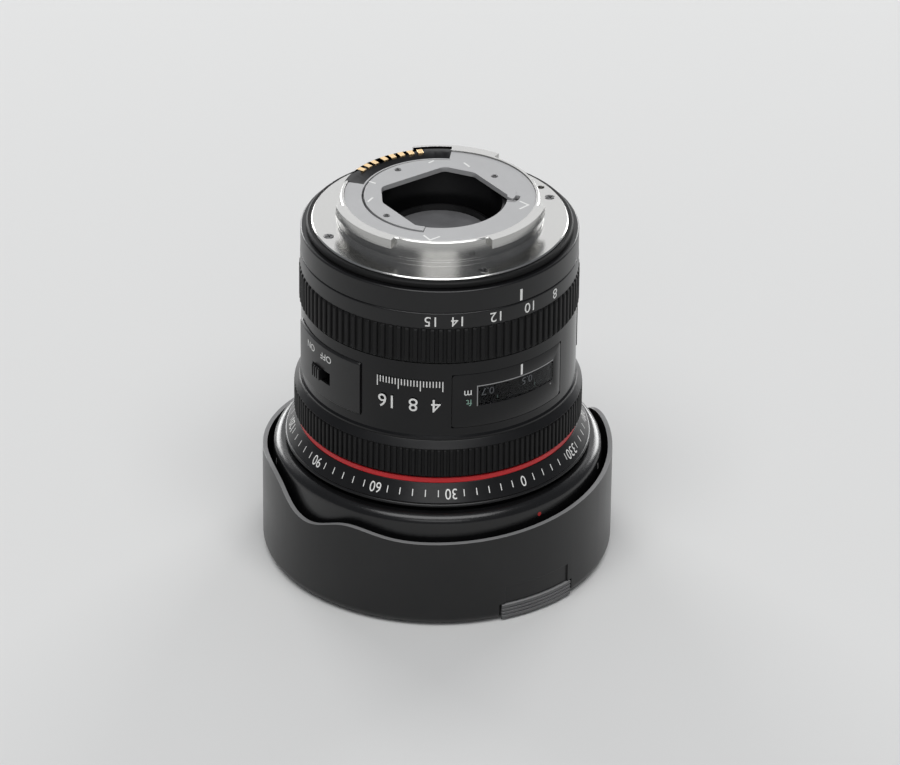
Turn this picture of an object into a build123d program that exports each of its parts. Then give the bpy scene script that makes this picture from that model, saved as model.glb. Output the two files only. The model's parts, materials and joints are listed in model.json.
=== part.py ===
from build123d import *
import math
import os

os.makedirs("parts", exist_ok=True)

# A fisheye zoom lens standing nose down on its cap, in millimetres.
# +Z runs up the optical axis, from the cap to the camera mount, and the origin is at the
# middle of the cap's underside. Side angles are counted from the lens's top side, which
# faces -Y, and grow towards +X.

# Shared clearances
run_gap = 0.05          # radial clearance of sleeves that turn on each other
ring_gap = 0.1          # axial clearance between outer rings
seat_gap = 0.3          # clearance between loose parts that face each other
slot_relief = 0.03      # extra radius at the ends of a cam slot
overrun = 1.0           # how far a cutting tool runs past the stock
quarter_turn = 90.0
full_turn = 360.0

# Heights of the sections, from the cap upwards
cap_base = 2.0
hood_lift = 2.9
hood_length = 25.8
hood_gap = 0.9
rim_length = 1.0
name_ring_length = 5.3
red_ring_length = 1.2
focus_length = 10.0
fixed_length = 21.8
zoom_grip_length = 10.0
zoom_band_length = 4.4
rear_length = 6.1
flange_thickness = 2.1
mount_height = 6.3

z_hood_tip = cap_base + hood_lift
z_hood_top = z_hood_tip + hood_length
z_rim = z_hood_top + hood_gap
z_name = z_rim + rim_length
z_red = z_name + name_ring_length
z_housing_top = z_red + red_ring_length
z_focus = z_housing_top + ring_gap
z_focus_top = z_focus + focus_length
z_fixed = z_focus_top + ring_gap
z_fixed_top = z_fixed + fixed_length
z_zoom = z_fixed_top + ring_gap
z_grip_top = z_zoom + zoom_grip_length
z_zoom_top = z_grip_top + zoom_band_length
z_rear = z_zoom_top + ring_gap
z_rear_top = z_rear + rear_length
z_flange = z_rear_top + flange_thickness
z_mount_top = z_flange + mount_height

# Radii of the outside, stepped from the fixed barrel
barrel_radius = 35.1
barrel_wall = 1.0
rear_step = 0.15
band_step = 0.2
grip_step = 0.45
lip_step = 0.4
focus_step = 1.8
red_step = 1.9
name_flare = 1.85
rim_step = 4.15
hood_step = 7.2
cap_step = 10.0
mount_step = 9.9

rear_radius = barrel_radius + rear_step
band_radius = barrel_radius + band_step
grip_radius = barrel_radius + grip_step
lip_radius = barrel_radius + lip_step
focus_radius = barrel_radius + focus_step
red_radius = barrel_radius + red_step
name_radius = red_radius + name_flare
rim_radius = barrel_radius + rim_step
hood_radius = barrel_radius + hood_step
cap_radius = barrel_radius + cap_step
mount_tube_radius = barrel_radius - mount_step

# The inside works in nested sleeves, each a running clearance apart
sleeve_step = 1.4
cam_wall = 1.0
guide_wall = 1.15
focus_cam_wall = 1.05
cam_radius = mount_tube_radius + sleeve_step
guide_bore = cam_radius + run_gap
guide_radius = guide_bore + guide_wall
focus_cam_bore = guide_radius + run_gap
focus_cam_radius = focus_cam_bore + focus_cam_wall
cam_bore = cam_radius - cam_wall
cell_radius = cam_bore - run_gap
barrel_bore = barrel_radius - barrel_wall
scale_gap = 0.15
scale_wall = 0.4
scale_radius = barrel_bore - scale_gap
motor_radius = scale_radius - scale_wall - seat_gap
motor_bore = focus_cam_radius + seat_gap

# Turning ranges, in degrees, and what they move
zoom_low = -21.0
zoom_high = 40.0
zoom_span = zoom_high - zoom_low
drum_low = -7.0
drum_high = 42.0
front_travel_per_degree = -0.05
rear_travel_per_degree = -0.15
focus_travel_per_degree = 0.06
group_count = 3
group_step = full_turn / group_count


# Wall thicknesses of the two hand-turned rings, under their rubber
zoom_rubber = 0.9
zoom_wall = 1.1
focus_rubber = 0.9
focus_wall = 1.2
zoom_core = grip_radius - zoom_rubber
zoom_bore = zoom_core - zoom_wall
zoom_spigot = zoom_bore - ring_gap
focus_core = focus_radius - focus_rubber
focus_bore = focus_core - focus_wall
focus_spigot = focus_bore - ring_gap


def turned(*points):
    """A solid of revolution from (radius, height) points."""
    outline = Plane.XZ * Polyline(*points, close=True)
    return revolve(make_face(outline), Axis.Z)


def tube(inner, outer, low, high):
    return turned((inner, low), (outer, low), (outer, high), (inner, high))


def chamfered_tube(inner, outer, low, high, cut_low, cut_high):
    return turned(
        (inner, low), (outer - cut_low, low), (outer, low + cut_low),
        (outer, high - cut_high), (outer - cut_high, high), (inner, high),
    )


def side(angle):
    """Turns a shape made along +X to the given side of the lens."""
    return Rot(0, 0, angle - quarter_turn)


def sector(inner, outer, low, high, centre, width):
    """A stretch of a ring, centred on a side angle."""
    outline = Plane.XZ * Polyline((inner, low), (outer, low), (outer, high), (inner, high), close=True)
    swept = revolve(make_face(outline), Axis.Z, revolution_arc=width)
    return side(centre - width / 2) * swept


def spoke(angle, inner, outer, height, radius):
    """A round bar that points outwards from the axis."""
    bar = Rot(0, quarter_turn, 0) * Cylinder(radius, outer - inner)
    return side(angle) * Pos((inner + outer) / 2, 0, height) * bar


def post(angle, distance, low, high, radius):
    """A round bar along the axis, at a side angle and distance."""
    return side(angle) * Pos(distance, 0, (low + high) / 2) * Cylinder(radius, high - low)


def block(angle, inner, outer, low, high, width):
    """A straight block on one side of the lens."""
    body = Box(outer - inner, width, high - low)
    return side(angle) * Pos((inner + outer) / 2, 0, (low + high) / 2) * body


def straight_slot(angle, inner, outer, low, high, width):
    """A slot along the axis with round ends, cut through a sleeve's wall."""
    half = width / 2
    middle = block(angle, inner, outer, low + half, high - half, width)
    return middle + spoke(angle, inner, outer, low + half, half) + spoke(angle, inner, outer, high - half, half)


def helical_slot(rest_angle, rest_height, inner, outer, turn_low, turn_high, rise, width):
    """The slot that a roller follows when its sleeve turns; rise is per degree of turn."""
    ends = sorted((rest_height + rise * turn, rest_angle - turn) for turn in (turn_low, turn_high))
    (low_height, low_angle), (high_height, high_angle) = ends
    path = Helix(
        abs(rise) * full_turn, high_height - low_height, (inner + outer) / 2, lefthand=high_angle < low_angle
    )
    section = Plane(path @ 0, x_dir=(1, 0, 0), z_dir=path % 0) * Rectangle(outer - inner, width)
    swept = sweep(section, path=path, is_frenet=True)
    end_radius = width / 2 + slot_relief
    return [
        side(low_angle) * Pos(0, 0, low_height) * swept,
        spoke(low_angle, inner, outer, low_height, end_radius),
        spoke(high_angle, inner, outer, high_height, end_radius),
    ]


def save(name, shape):
    export_step(Part() + shape, "parts/" + name + ".step")


# Camera mount
flange_step = 7.3
mount_tube_wall = 0.9
lug_step = 1.8
lug_thickness = 2.5
lug_width_angle = 49.0
lug_angles = (-86.5, 18.0, 135.5)
mount_foot_step = 1.0
mount_foot_height = 1.2
mount_skirt_length = 4.0
mount_edge = 0.3
lock_notch_angle = 87.0
lock_notch_inset = 2.1
lock_notch_radius = 0.9
lock_notch_depth = 1.2
mount_screw_count = 4
mount_screw_first = -14.0
mount_screw_inset = 2.6
mount_screw_head = 1.25
mount_screw_shank = 0.8
mount_screw_head_depth = 0.9
mount_screw_length = 4.2
flange_radius = mount_tube_radius + flange_step
lug_radius = mount_tube_radius + lug_step
mount_foot_radius = mount_tube_radius + mount_foot_step
lock_notch_distance = flange_radius - lock_notch_inset
mount_screw_distance = flange_radius - mount_screw_inset
mount_bore = mount_tube_radius - mount_tube_wall
z_lug_low = z_mount_top - lug_thickness
z_skirt = z_flange - flange_thickness - mount_skirt_length

# Contact block in the mount
contact_angle = 178.0
contact_span = 80.0
contact_depth = 4.4
contact_drop = 0.15
contact_height = 3.2
contact_bevel = 1.2
pad_angles = (157.0, 163.0, 169.0, 175.0, 181.0, 188.5, 194.5, 200.5)
pad_width_angle = 3.6
pad_length = 2.0
pad_rise = 0.1
pad_depth = 0.8

# Rear plate with the filter holder
plate_drop = 0.3
plate_thickness = 1.2
plate_radius = mount_bore - ring_gap
aperture_margin = 7.2
aperture_side = 2.8
aperture_clip_width = 4.4
aperture_back = 5.0
aperture_clip_height = 7.0
aperture_corner = 2.4
holder_margin = 5.0
aperture_radius = plate_radius - aperture_margin
aperture_half_width = aperture_radius - aperture_side
aperture_top_half_width = aperture_half_width - aperture_clip_width
aperture_top = aperture_radius - aperture_back
aperture_shoulder = aperture_top - aperture_clip_height
holder_radius = plate_radius - holder_margin
holder_rise = 0.15
holder_start = 46.0
holder_end = 312.0
holder_slot = 0.6
holder_slot_start = 137.0
hook_radius = 0.65
hook_angles = (63.0, 51.0, 48.5, 54.5)
hook_radius_shares = (0.76, 0.87, 0.95, 1.02)
plate_screw_angles = (92.0, 183.0, 274.0)
plate_screw_inset = 1.9
plate_screw_distance = holder_radius - plate_screw_inset
plate_screw_head = 0.85
plate_screw_shank = 0.5
plate_screw_head_depth = 0.5
plate_screw_length = 2.0
z_plate_top = z_mount_top - plate_drop
z_plate = z_plate_top - plate_thickness

# Light baffle below the plate
baffle_margin = 0.2
baffle_radius = aperture_radius - baffle_margin
baffle_wall = 1.0
baffle_flange = 1.2
baffle_length = 15.0
baffle_ledge = 0.8
baffle_sink = 0.4
z_baffle_top = z_plate
baffle_bore = baffle_radius - baffle_wall

# Rubber gasket round the flange
gasket_step = 1.3
gasket_radius = flange_radius + gasket_step
gasket_height = 1.6
gasket_edge = 0.4
gasket_split_angle = -160.0
gasket_split = 0.8

# Rear barrel
rear_web = 3.0
rear_wall = 1.2
rear_edge = 0.3
z_web = z_rear_top - rear_web


def mount_ring():
    body = turned(
        (mount_bore, z_skirt), (mount_tube_radius, z_skirt),
        (mount_tube_radius, z_flange - flange_thickness), (flange_radius, z_flange - flange_thickness),
        (flange_radius, z_flange - mount_edge), (flange_radius - mount_edge, z_flange),
        (mount_foot_radius, z_flange), (mount_foot_radius, z_flange + mount_foot_height),
        (mount_tube_radius, z_flange + mount_foot_height), (mount_tube_radius, z_mount_top - mount_edge),
        (mount_tube_radius - mount_edge, z_mount_top), (mount_bore, z_mount_top),
    )
    for angle in lug_angles:
        body += sector(mount_tube_radius - mount_edge, lug_radius, z_lug_low, z_mount_top, angle, lug_width_angle)
    body -= sector(
        mount_bore - overrun, mount_tube_radius + overrun, z_mount_top - contact_height,
        z_mount_top + overrun, contact_angle, contact_span,
    )
    body -= post(
        lock_notch_angle, lock_notch_distance, z_flange - lock_notch_depth, z_flange + overrun, lock_notch_radius
    )
    for angle in mount_screw_angles():
        body -= post(angle, mount_screw_distance, z_skirt, z_flange + overrun, mount_screw_shank + run_gap)
        body -= post(
            angle, mount_screw_distance, z_flange - mount_screw_head_depth, z_flange + overrun,
            mount_screw_head + run_gap,
        )
    return body


def mount_screw_angles():
    step = full_turn / mount_screw_count
    return [mount_screw_first + step * index for index in range(mount_screw_count)]


def sunk_screw(angle, distance, top, head_radius, head_depth, shank_radius, length):
    """A screw with its head flush with the given height."""
    head = post(angle, distance, top - head_depth, top, head_radius)
    return head + post(angle, distance, top - length, top - head_depth, shank_radius)


def mount_screws():
    return [
        sunk_screw(
            angle, mount_screw_distance, z_flange, mount_screw_head, mount_screw_head_depth,
            mount_screw_shank, mount_screw_length,
        )
        for angle in mount_screw_angles()
    ]


def rear_gasket():
    low = z_rear_top
    ring = chamfered_tube(
        flange_radius + run_gap, gasket_radius, low, low + gasket_height, gasket_edge / 2, gasket_edge
    )
    return ring - block(
        gasket_split_angle, gasket_radius - gasket_split, gasket_radius + overrun, low + gasket_height / 2,
        low + gasket_height + overrun, gasket_split,
    )


def contact_block():
    low = z_mount_top - contact_height
    top = z_mount_top - contact_drop
    inner = mount_tube_radius - contact_depth
    outline = Plane.XZ * Polyline(
        (inner, low), (mount_tube_radius, low), (mount_tube_radius, top),
        (inner + contact_bevel + pad_length, top), (inner, top - contact_bevel), close=True,
    )
    span = contact_span - ring_gap
    body = side(contact_angle - span / 2) * revolve(make_face(outline), Axis.Z, revolution_arc=span)
    for pad in contact_pads():
        body -= pad
    return body


def contact_pads():
    top = z_mount_top - contact_drop
    outer = mount_tube_radius - ring_gap
    return [
        sector(outer - pad_length, outer, top - pad_depth, top + pad_rise, angle, pad_width_angle)
        for angle in pad_angles
    ]


def aperture(low, high):
    """The opening for the light: round in front, with a flat back and clipped corners."""
    corners = [
        (-aperture_half_width, -aperture_radius), (aperture_half_width, -aperture_radius),
        (aperture_half_width, aperture_shoulder), (aperture_top_half_width, aperture_top),
        (-aperture_top_half_width, aperture_top), (-aperture_half_width, aperture_shoulder),
    ]
    frame = make_face(Polyline(*corners, close=True))
    frame = fillet(frame.vertices().sort_by(Axis.Y)[2:], aperture_corner)
    return Pos(0, 0, low) * extrude(Circle(aperture_radius) & frame, high - low)


def holder_region(radius, low, high, start, end):
    return sector(0, radius, low, high, (start + end) / 2, end - start)


def holder_hook(low, high):
    """The hooked slot at the free end of the holder plate."""
    points = []
    for angle, share in zip(hook_angles, hook_radius_shares):
        radians = math.radians(angle)
        points.append((holder_radius * share * math.sin(radians), -holder_radius * share * math.cos(radians)))
    stroke = trace(Spline(*points), line_width=hook_radius * 2)
    end = Pos(*points[-1]) * Circle(hook_radius)
    return Pos(0, 0, low) * extrude(stroke + end, high - low)


def filter_plate():
    plate = tube(0, plate_radius, z_plate, z_plate_top)
    low = z_plate - overrun
    high = z_plate_top + overrun
    plate -= aperture(low, high)
    plate -= holder_region(holder_radius + run_gap, low, high, holder_start, holder_slot_start)
    plate -= holder_region(holder_radius + holder_slot, low, high, holder_slot_start, holder_end + holder_slot)
    plate -= holder_hook(low, high)
    plate -= sector(
        mount_tube_radius - contact_depth - holder_slot, plate_radius + overrun, low, high,
        contact_angle, contact_span + ring_gap,
    )
    return plate


def filter_holder():
    low = z_plate
    high = z_plate_top + holder_rise
    plate = holder_region(holder_radius, low, high, holder_start, holder_end)
    plate -= aperture(low - overrun, high + overrun)
    plate -= holder_hook(low - overrun, high + overrun)
    for angle in plate_screw_angles:
        plate -= post(angle, plate_screw_distance, low - overrun, high + overrun, plate_screw_shank + run_gap)
        plate -= post(
            angle, plate_screw_distance, high - plate_screw_head_depth, high + overrun, plate_screw_head + run_gap
        )
    return plate


def plate_screws():
    return [
        sunk_screw(
            angle, plate_screw_distance, z_plate_top + holder_rise, plate_screw_head, plate_screw_head_depth,
            plate_screw_shank, plate_screw_length,
        )
        for angle in plate_screw_angles
    ]


def rear_baffle():
    low = z_baffle_top - baffle_length
    body = turned(
        (baffle_bore, low), (baffle_radius, low), (baffle_radius, z_baffle_top - baffle_flange),
        (plate_radius, z_baffle_top - baffle_flange), (plate_radius, z_baffle_top),
        (aperture_radius + baffle_ledge, z_baffle_top), (aperture_radius + baffle_ledge, z_baffle_top - baffle_sink),
        (baffle_bore, z_baffle_top - baffle_sink),
    )
    body -= sector(
        mount_tube_radius - contact_depth - holder_slot, plate_radius + overrun, z_baffle_top - baffle_flange - overrun,
        z_baffle_top + overrun, contact_angle, contact_span + ring_gap,
    )
    for angle in plate_screw_angles:
        body -= post(
            angle, plate_screw_distance, z_baffle_top - plate_screw_length, z_baffle_top + overrun,
            plate_screw_shank + run_gap,
        )
    return body


def rear_barrel():
    body = turned(
        (mount_tube_radius + run_gap, z_web), (rear_radius - rear_wall, z_web), (rear_radius - rear_wall, z_rear),
        (rear_radius, z_rear), (rear_radius, z_rear_top - rear_edge), (rear_radius - rear_edge, z_rear_top),
        (mount_tube_radius + run_gap, z_rear_top),
    )
    for angle in mount_screw_angles():
        body -= post(angle, mount_screw_distance, z_web - overrun, z_rear_top + overrun, mount_screw_shank + run_gap)
    return body


# Zoom ring
key_sink = 0.35
band_edge = 0.3
zoom_rib_count = 104
zoom_rib_depth = 0.55
zoom_rib_share = 0.5
key_width = 9.0
key_thickness = 1.6
key_drop = 1.8
key_angle = 150.0
key_play = 1.0
z_key = z_zoom_top - key_drop


def ribbed_tube(inner, outer, low, high, count, depth, rib_share):
    """A rubber sleeve with straight ribs all round."""
    step = full_turn / count
    rib = step * rib_share
    ramp = (step - rib) / 4
    points = []
    for index in range(count):
        start = index * step
        corners = (
            (outer, start), (outer, start + rib), (outer - depth, start + rib + ramp),
            (outer - depth, start + step - ramp),
        )
        for distance, turn in corners:
            radians = math.radians(turn)
            points.append((distance * math.cos(radians), distance * math.sin(radians)))
    outline = make_face(Polyline(*points, close=True)) - Circle(inner)
    return Pos(0, 0, low) * extrude(outline, high - low)


def zoom_ring():
    body = turned(
        (zoom_bore, z_zoom), (zoom_core, z_zoom), (zoom_core, z_grip_top), (band_radius, z_grip_top),
        (band_radius, z_zoom_top - band_edge), (band_radius - band_edge, z_zoom_top), (zoom_bore, z_zoom_top),
    )
    return body - zoom_key()


def zoom_grip():
    return ribbed_tube(zoom_core, grip_radius, z_zoom, z_grip_top, zoom_rib_count, zoom_rib_depth, zoom_rib_share)


def zoom_key():
    """The flat key that turns the cam barrel with the zoom ring."""
    inner = cam_radius - cam_wall / 2
    outer = zoom_bore + key_sink
    half = key_thickness / 2
    plate = block(key_angle, inner - overrun, outer, z_key - half, z_key + half, key_width)
    return plate & tube(inner, outer, z_key - key_thickness, z_key + key_thickness)


# Guide barrel, fixed, and cam barrel, turned by the zoom ring
roller_radius = 1.5
roller_gap = 0.05
roller_margin = 0.4
rear_roller_radius = 1.5
focus_roller_radius = 1.3
front_roller_rise = 6.0
focus_roller_rise = 13.0
rear_roller_rise = 34.0
front_roller_angle = 20.0
focus_roller_angle = 80.0
rear_roller_angle = 40.0
housing_web = 2.0
housing_web_drop = 0.7
motor_flange = 1.5
motor_flange_rise = 18.2
cam_rise = 0.6
cam_drop = 1.2
z_web_top = z_housing_top - housing_web_drop
z_web_low = z_web_top - housing_web
z_front_roller = z_web_top + front_roller_rise
z_focus_roller = z_web_top + focus_roller_rise
z_rear_roller = z_web_top + rear_roller_rise
z_motor_flange = z_web_top + motor_flange_rise
z_cam = z_web_top + cam_rise
z_cam_top = z_zoom_top - cam_drop + key_thickness / 2


def group_angles(first):
    return [first + group_step * index for index in range(group_count)]


def travel_ends(height, rise, turn_low, turn_high, radius):
    """Lowest and highest point that a roller sweeps."""
    ends = (height + rise * turn_low, height + rise * turn_high)
    return min(ends) - radius - roller_margin, max(ends) + radius + roller_margin


def guide_barrel():
    inner = guide_bore
    outer = guide_radius
    body = turned(
        (inner, z_web_top), (outer, z_web_top), (outer, z_motor_flange), (motor_radius, z_motor_flange),
        (motor_radius, z_motor_flange + motor_flange), (outer, z_motor_flange + motor_flange), (outer, z_web),
        (inner, z_web),
    )
    cut_in = inner - overrun
    cut_out = outer + overrun
    rollers = (
        (front_roller_angle, z_front_roller, front_travel_per_degree, zoom_low, zoom_high, roller_radius),
        (focus_roller_angle, z_focus_roller, focus_travel_per_degree, drum_low, drum_high, focus_roller_radius),
        (rear_roller_angle, z_rear_roller, rear_travel_per_degree, zoom_low, zoom_high, rear_roller_radius),
    )
    for first, height, rise, low_turn, high_turn, radius in rollers:
        low, high = travel_ends(height, rise, low_turn, high_turn, radius)
        for angle in group_angles(first):
            body -= straight_slot(angle, cut_in, cut_out, low, high, (radius + roller_gap) * 2)
    key_half_turn = math.degrees(math.asin(key_width / 2 / inner)) + key_play
    key_reach = key_half_turn * 2 + zoom_span
    body -= sector(
        cut_in, cut_out, z_key - key_thickness, z_key + key_thickness,
        key_angle + (zoom_low + zoom_high) / 2, key_reach,
    )
    return body


def cam_barrel():
    body = tube(cam_bore, cam_radius, z_cam, z_cam_top)
    cut_in = cam_bore - overrun
    cut_out = cam_radius + overrun
    for angle in group_angles(front_roller_angle):
        for tool in helical_slot(
            angle, z_front_roller, cut_in, cut_out, zoom_low, zoom_high, front_travel_per_degree,
            (roller_radius + roller_gap) * 2,
        ):
            body -= tool
    for angle in group_angles(rear_roller_angle):
        for tool in helical_slot(
            angle, z_rear_roller, cut_in, cut_out, zoom_low, zoom_high, rear_travel_per_degree,
            (rear_roller_radius + roller_gap) * 2,
        ):
            body -= tool
    low, high = travel_ends(z_focus_roller, focus_travel_per_degree, drum_low, drum_high, focus_roller_radius)
    window = zoom_span + math.degrees((focus_roller_radius + roller_margin) * 2 / cam_bore)
    for angle in group_angles(focus_roller_angle):
        body -= sector(cut_in, cut_out, low, high, angle - (zoom_low + zoom_high) / 2, window)
    body -= zoom_key()
    return body


# Fixed barrel
web_thickness = 1.5
web_drop = 1.9
spigot_length = 7.0
spigot_wall = 1.0
lip_length = 1.1
window_angle = -2.0
window_width_angle = 56.0
window_length = 15.3
window_rise = 3.2
window_wall = 0.55
window_ledge_angle = 4.0
opening_rise = 6.3
opening_length = 7.6
limit_angle = -92.0
limit_width_angle = 46.0
limit_rise = 0.6
mode_angle = 90.0
mode_width_angle = 50.0
mode_rise = 1.0
panel_length = 15.0
panel_lift = 3.6
panel_edge = 0.5
knob_slot_angle = 13.0
knob_slot_length = 3.4
knob_width_angle = 6.0
knob_rise = 0.9
knob_foot = 0.6
knob_travel = 4.4
knob_lift = 8.2
z_window = z_fixed + window_rise
z_opening = z_window + opening_rise
z_panel = z_fixed + panel_lift
z_knob = z_fixed + knob_lift


def fixed_barrel():
    web_top = z_fixed_top - web_drop
    spigot_bore = zoom_spigot - spigot_wall
    body = turned(
        (barrel_bore, z_fixed), (lip_radius, z_fixed), (lip_radius, z_fixed + lip_length / 2),
        (barrel_radius, z_fixed + lip_length), (barrel_radius, z_fixed_top), (zoom_spigot, z_fixed_top),
        (zoom_spigot, z_fixed_top + spigot_length), (spigot_bore, z_fixed_top + spigot_length),
        (spigot_bore, web_top), (guide_radius + run_gap / 2, web_top),
        (guide_radius + run_gap / 2, web_top - web_thickness), (barrel_bore, web_top - web_thickness),
    )
    body -= sector(
        barrel_radius - window_wall, barrel_radius + overrun, z_window, z_window + window_length,
        window_angle, window_width_angle,
    )
    body -= sector(
        barrel_bore - overrun, barrel_radius + overrun, z_opening, z_opening + opening_length,
        window_angle, window_width_angle - window_ledge_angle * 2,
    )
    for angle in (limit_angle, mode_angle):
        body -= sector(
            barrel_bore - overrun, barrel_radius + overrun, z_knob, z_knob + knob_slot_length, angle, knob_slot_angle
        )
    return body


def window_glass():
    """The clear panel over the distance scale, let into the barrel."""
    edge = run_gap / 2
    return sector(
        barrel_radius - window_wall, barrel_radius, z_window + edge, z_window + window_length - edge,
        window_angle, window_width_angle - math.degrees(run_gap / barrel_radius),
    )


def switch_plate(angle, width, rise):
    """A raised pad with bevelled edges and a slot for its knob."""
    inner = barrel_radius
    outer = barrel_radius + rise
    high = z_panel + panel_length
    bevel = min(panel_edge, rise * 3 / 4)
    outline = Plane.XZ * Polyline(
        (inner, z_panel), (outer - bevel, z_panel), (outer, z_panel + bevel), (outer, high - bevel),
        (outer - bevel, high), (inner, high), close=True,
    )
    body = side(angle - width / 2) * revolve(make_face(outline), Axis.Z, revolution_arc=width)
    return body - sector(
        inner - overrun, outer + overrun, z_knob, z_knob + knob_slot_length, angle, knob_slot_angle
    )


def switch_knob(angle, rise):
    """A finger knob on a foot that runs behind its plate; it stands at one end of its slot."""
    top = barrel_radius + rise
    rest = angle - knob_travel / 2
    low = z_knob + seat_gap / 2
    high = z_knob + knob_slot_length - seat_gap / 2
    knob = sector(barrel_bore + run_gap, top + knob_rise, low, high, rest, knob_width_angle)
    for index in (-1, 0, 1):
        groove = rest + index * knob_width_angle / 4
        knob -= sector(top + knob_rise / 2, top + knob_rise + overrun, low, high, groove, knob_width_angle / 8)
    foot_low = z_knob - knob_foot
    foot_high = z_knob + knob_slot_length + knob_foot
    foot_outer = barrel_bore - run_gap
    foot = sector(foot_outer - knob_foot / 2, foot_outer, foot_low, foot_high, rest, knob_width_angle)
    neck = sector(foot_outer - knob_foot / 4, barrel_bore + run_gap * 2, low, high, rest, knob_width_angle)
    return knob + foot + neck


# Focus ring, its roller drive and the distance scale
focus_band_length = 1.9
focus_rib_count = 144
focus_rib_depth = 0.5
focus_rib_share = 0.5
press_web = 1.0
press_drop = 1.6
roller_disc_radius = 1.0
roller_disc_length = 1.6
roller_disc_angle = 20.0
rotor_height = 1.8
carrier_height = 1.7
arm_width_angle = 8.0
scale_foot = 2.6
scale_lap = 0.6
scale_margin_angle = 2.0
teeth_count = 24
teeth_depth = 1.0
teeth_share = 0.35
z_press_top = z_focus_top - press_drop + press_web
z_roller = z_press_top + run_gap + roller_disc_radius
z_rotor = z_roller + roller_disc_radius + run_gap
z_stator = z_rotor + rotor_height
z_carrier = z_roller - carrier_height / 2


def focus_ring():
    band_low = z_focus_top - focus_band_length
    return turned(
        (focus_bore, z_focus), (focus_core, z_focus), (focus_core, band_low), (focus_radius, band_low),
        (lip_radius, z_focus_top), (focus_bore, z_focus_top), (focus_bore, z_press_top),
        (motor_bore, z_press_top), (motor_bore, z_press_top - press_web), (focus_bore, z_press_top - press_web),
    )


def focus_grip():
    return ribbed_tube(
        focus_core, focus_radius, z_focus, z_focus_top - focus_band_length, focus_rib_count, focus_rib_depth,
        focus_rib_share,
    )


def focus_cam_ring():
    """The output ring: three helical slots move the focus cell, three arms carry the scale."""
    top = z_motor_flange - seat_gap
    body = tube(focus_cam_bore, focus_cam_radius, z_carrier, top)
    for angle in group_angles(focus_roller_angle):
        for tool in helical_slot(
            angle, z_focus_roller, focus_cam_bore - overrun, focus_cam_radius + overrun, drum_low, drum_high,
            focus_travel_per_degree, (focus_roller_radius + roller_gap) * 2,
        ):
            body -= tool
    arm_reach = scale_radius - scale_wall
    for angle in group_angles(roller_disc_angle + group_step / 2):
        body += sector(
            focus_cam_radius - run_gap, arm_reach, z_carrier, z_carrier + carrier_height, angle, arm_width_angle
        )
    axle = roller_disc_radius / 2
    for angle in group_angles(roller_disc_angle):
        body += spoke(angle, focus_cam_radius - run_gap, motor_bore + roller_disc_length, z_roller, axle)
    return body


def focus_rollers():
    """Rollers between the hand-turned ring and the rotor."""
    discs = []
    bore = roller_disc_radius / 2 + run_gap
    for angle in group_angles(roller_disc_angle):
        disc = spoke(angle, motor_bore, motor_bore + roller_disc_length, z_roller, roller_disc_radius)
        discs.append(disc - spoke(angle, motor_bore - overrun, motor_radius, z_roller, bore))
    return discs


def distance_scale():
    """A foot ring on the arms, with the printed strip that passes behind the window."""
    inner = scale_radius - scale_wall
    first = window_angle - window_width_angle / 2 - drum_high - scale_margin_angle
    last = window_angle + window_width_angle / 2 - drum_low + scale_margin_angle
    body = tube(inner, scale_radius, z_carrier, z_carrier + scale_foot)
    return body + sector(
        inner, scale_radius, z_carrier, z_opening + opening_length + scale_lap, (first + last) / 2, last - first
    )


def motor_rotor():
    return chamfered_tube(motor_bore, motor_radius, z_rotor, z_stator, ring_gap, ring_gap)


def motor_stator():
    """The toothed ring that drives the rotor."""
    high = z_motor_flange
    body = tube(motor_bore, motor_radius, z_stator, high)
    pitch = full_turn / teeth_count
    for index in range(teeth_count):
        body -= sector(
            motor_bore - overrun, motor_radius + overrun, z_stator - overrun, z_stator + teeth_depth,
            index * pitch, pitch * teeth_share,
        )
    return body


# Name ring, red ring and front housing with the hood's bayonet
housing_wall = 1.2
name_wall = 1.6
spigot_radius = red_radius - name_wall
collar_drop = 2.0
collar_radius = rim_radius - collar_drop
collar_length = 11.5
collar_wall = 2.9
housing_bore = collar_radius - collar_wall
rim_groove = 0.3
hood_lug_height = 1.6
hood_lug_rise = 5.8
hood_lug_angle = 38.0
hood_lug_depth = 1.1
hood_lug_first = 30.0
hood_bore = collar_radius + hood_lug_depth + seat_gap
housing_bottom = z_rim - collar_length


def name_ring():
    return turned(
        (spigot_radius, z_name), (name_radius, z_name), (red_radius, z_red), (spigot_radius, z_red),
    )


def red_ring():
    edge = red_ring_length / 4
    return turned(
        (spigot_radius, z_red), (red_radius, z_red), (red_radius, z_housing_top - edge),
        (red_radius - edge, z_housing_top), (spigot_radius, z_housing_top),
    )


def front_housing():
    body = turned(
        (housing_bore, housing_bottom), (collar_radius, housing_bottom), (collar_radius, z_rim),
        (rim_radius - rim_groove, z_rim), (rim_radius, z_rim + rim_groove), (rim_radius, z_name - rim_groove),
        (rim_radius - rim_groove, z_name), (spigot_radius, z_name), (spigot_radius, z_housing_top),
        (focus_spigot, z_housing_top), (focus_spigot, z_press_top - press_web - ring_gap),
        (focus_spigot - housing_wall, z_press_top - press_web - ring_gap), (focus_spigot - housing_wall, z_web_top),
        (guide_bore, z_web_top), (guide_bore, z_web_low), (housing_bore, z_web_low),
    )
    for angle in group_angles(hood_lug_first):
        body += sector(
            collar_radius - run_gap, collar_radius + hood_lug_depth, z_rim - hood_lug_rise - hood_lug_height,
            z_rim - hood_lug_rise, angle, hood_lug_angle,
        )
    return body


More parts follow.
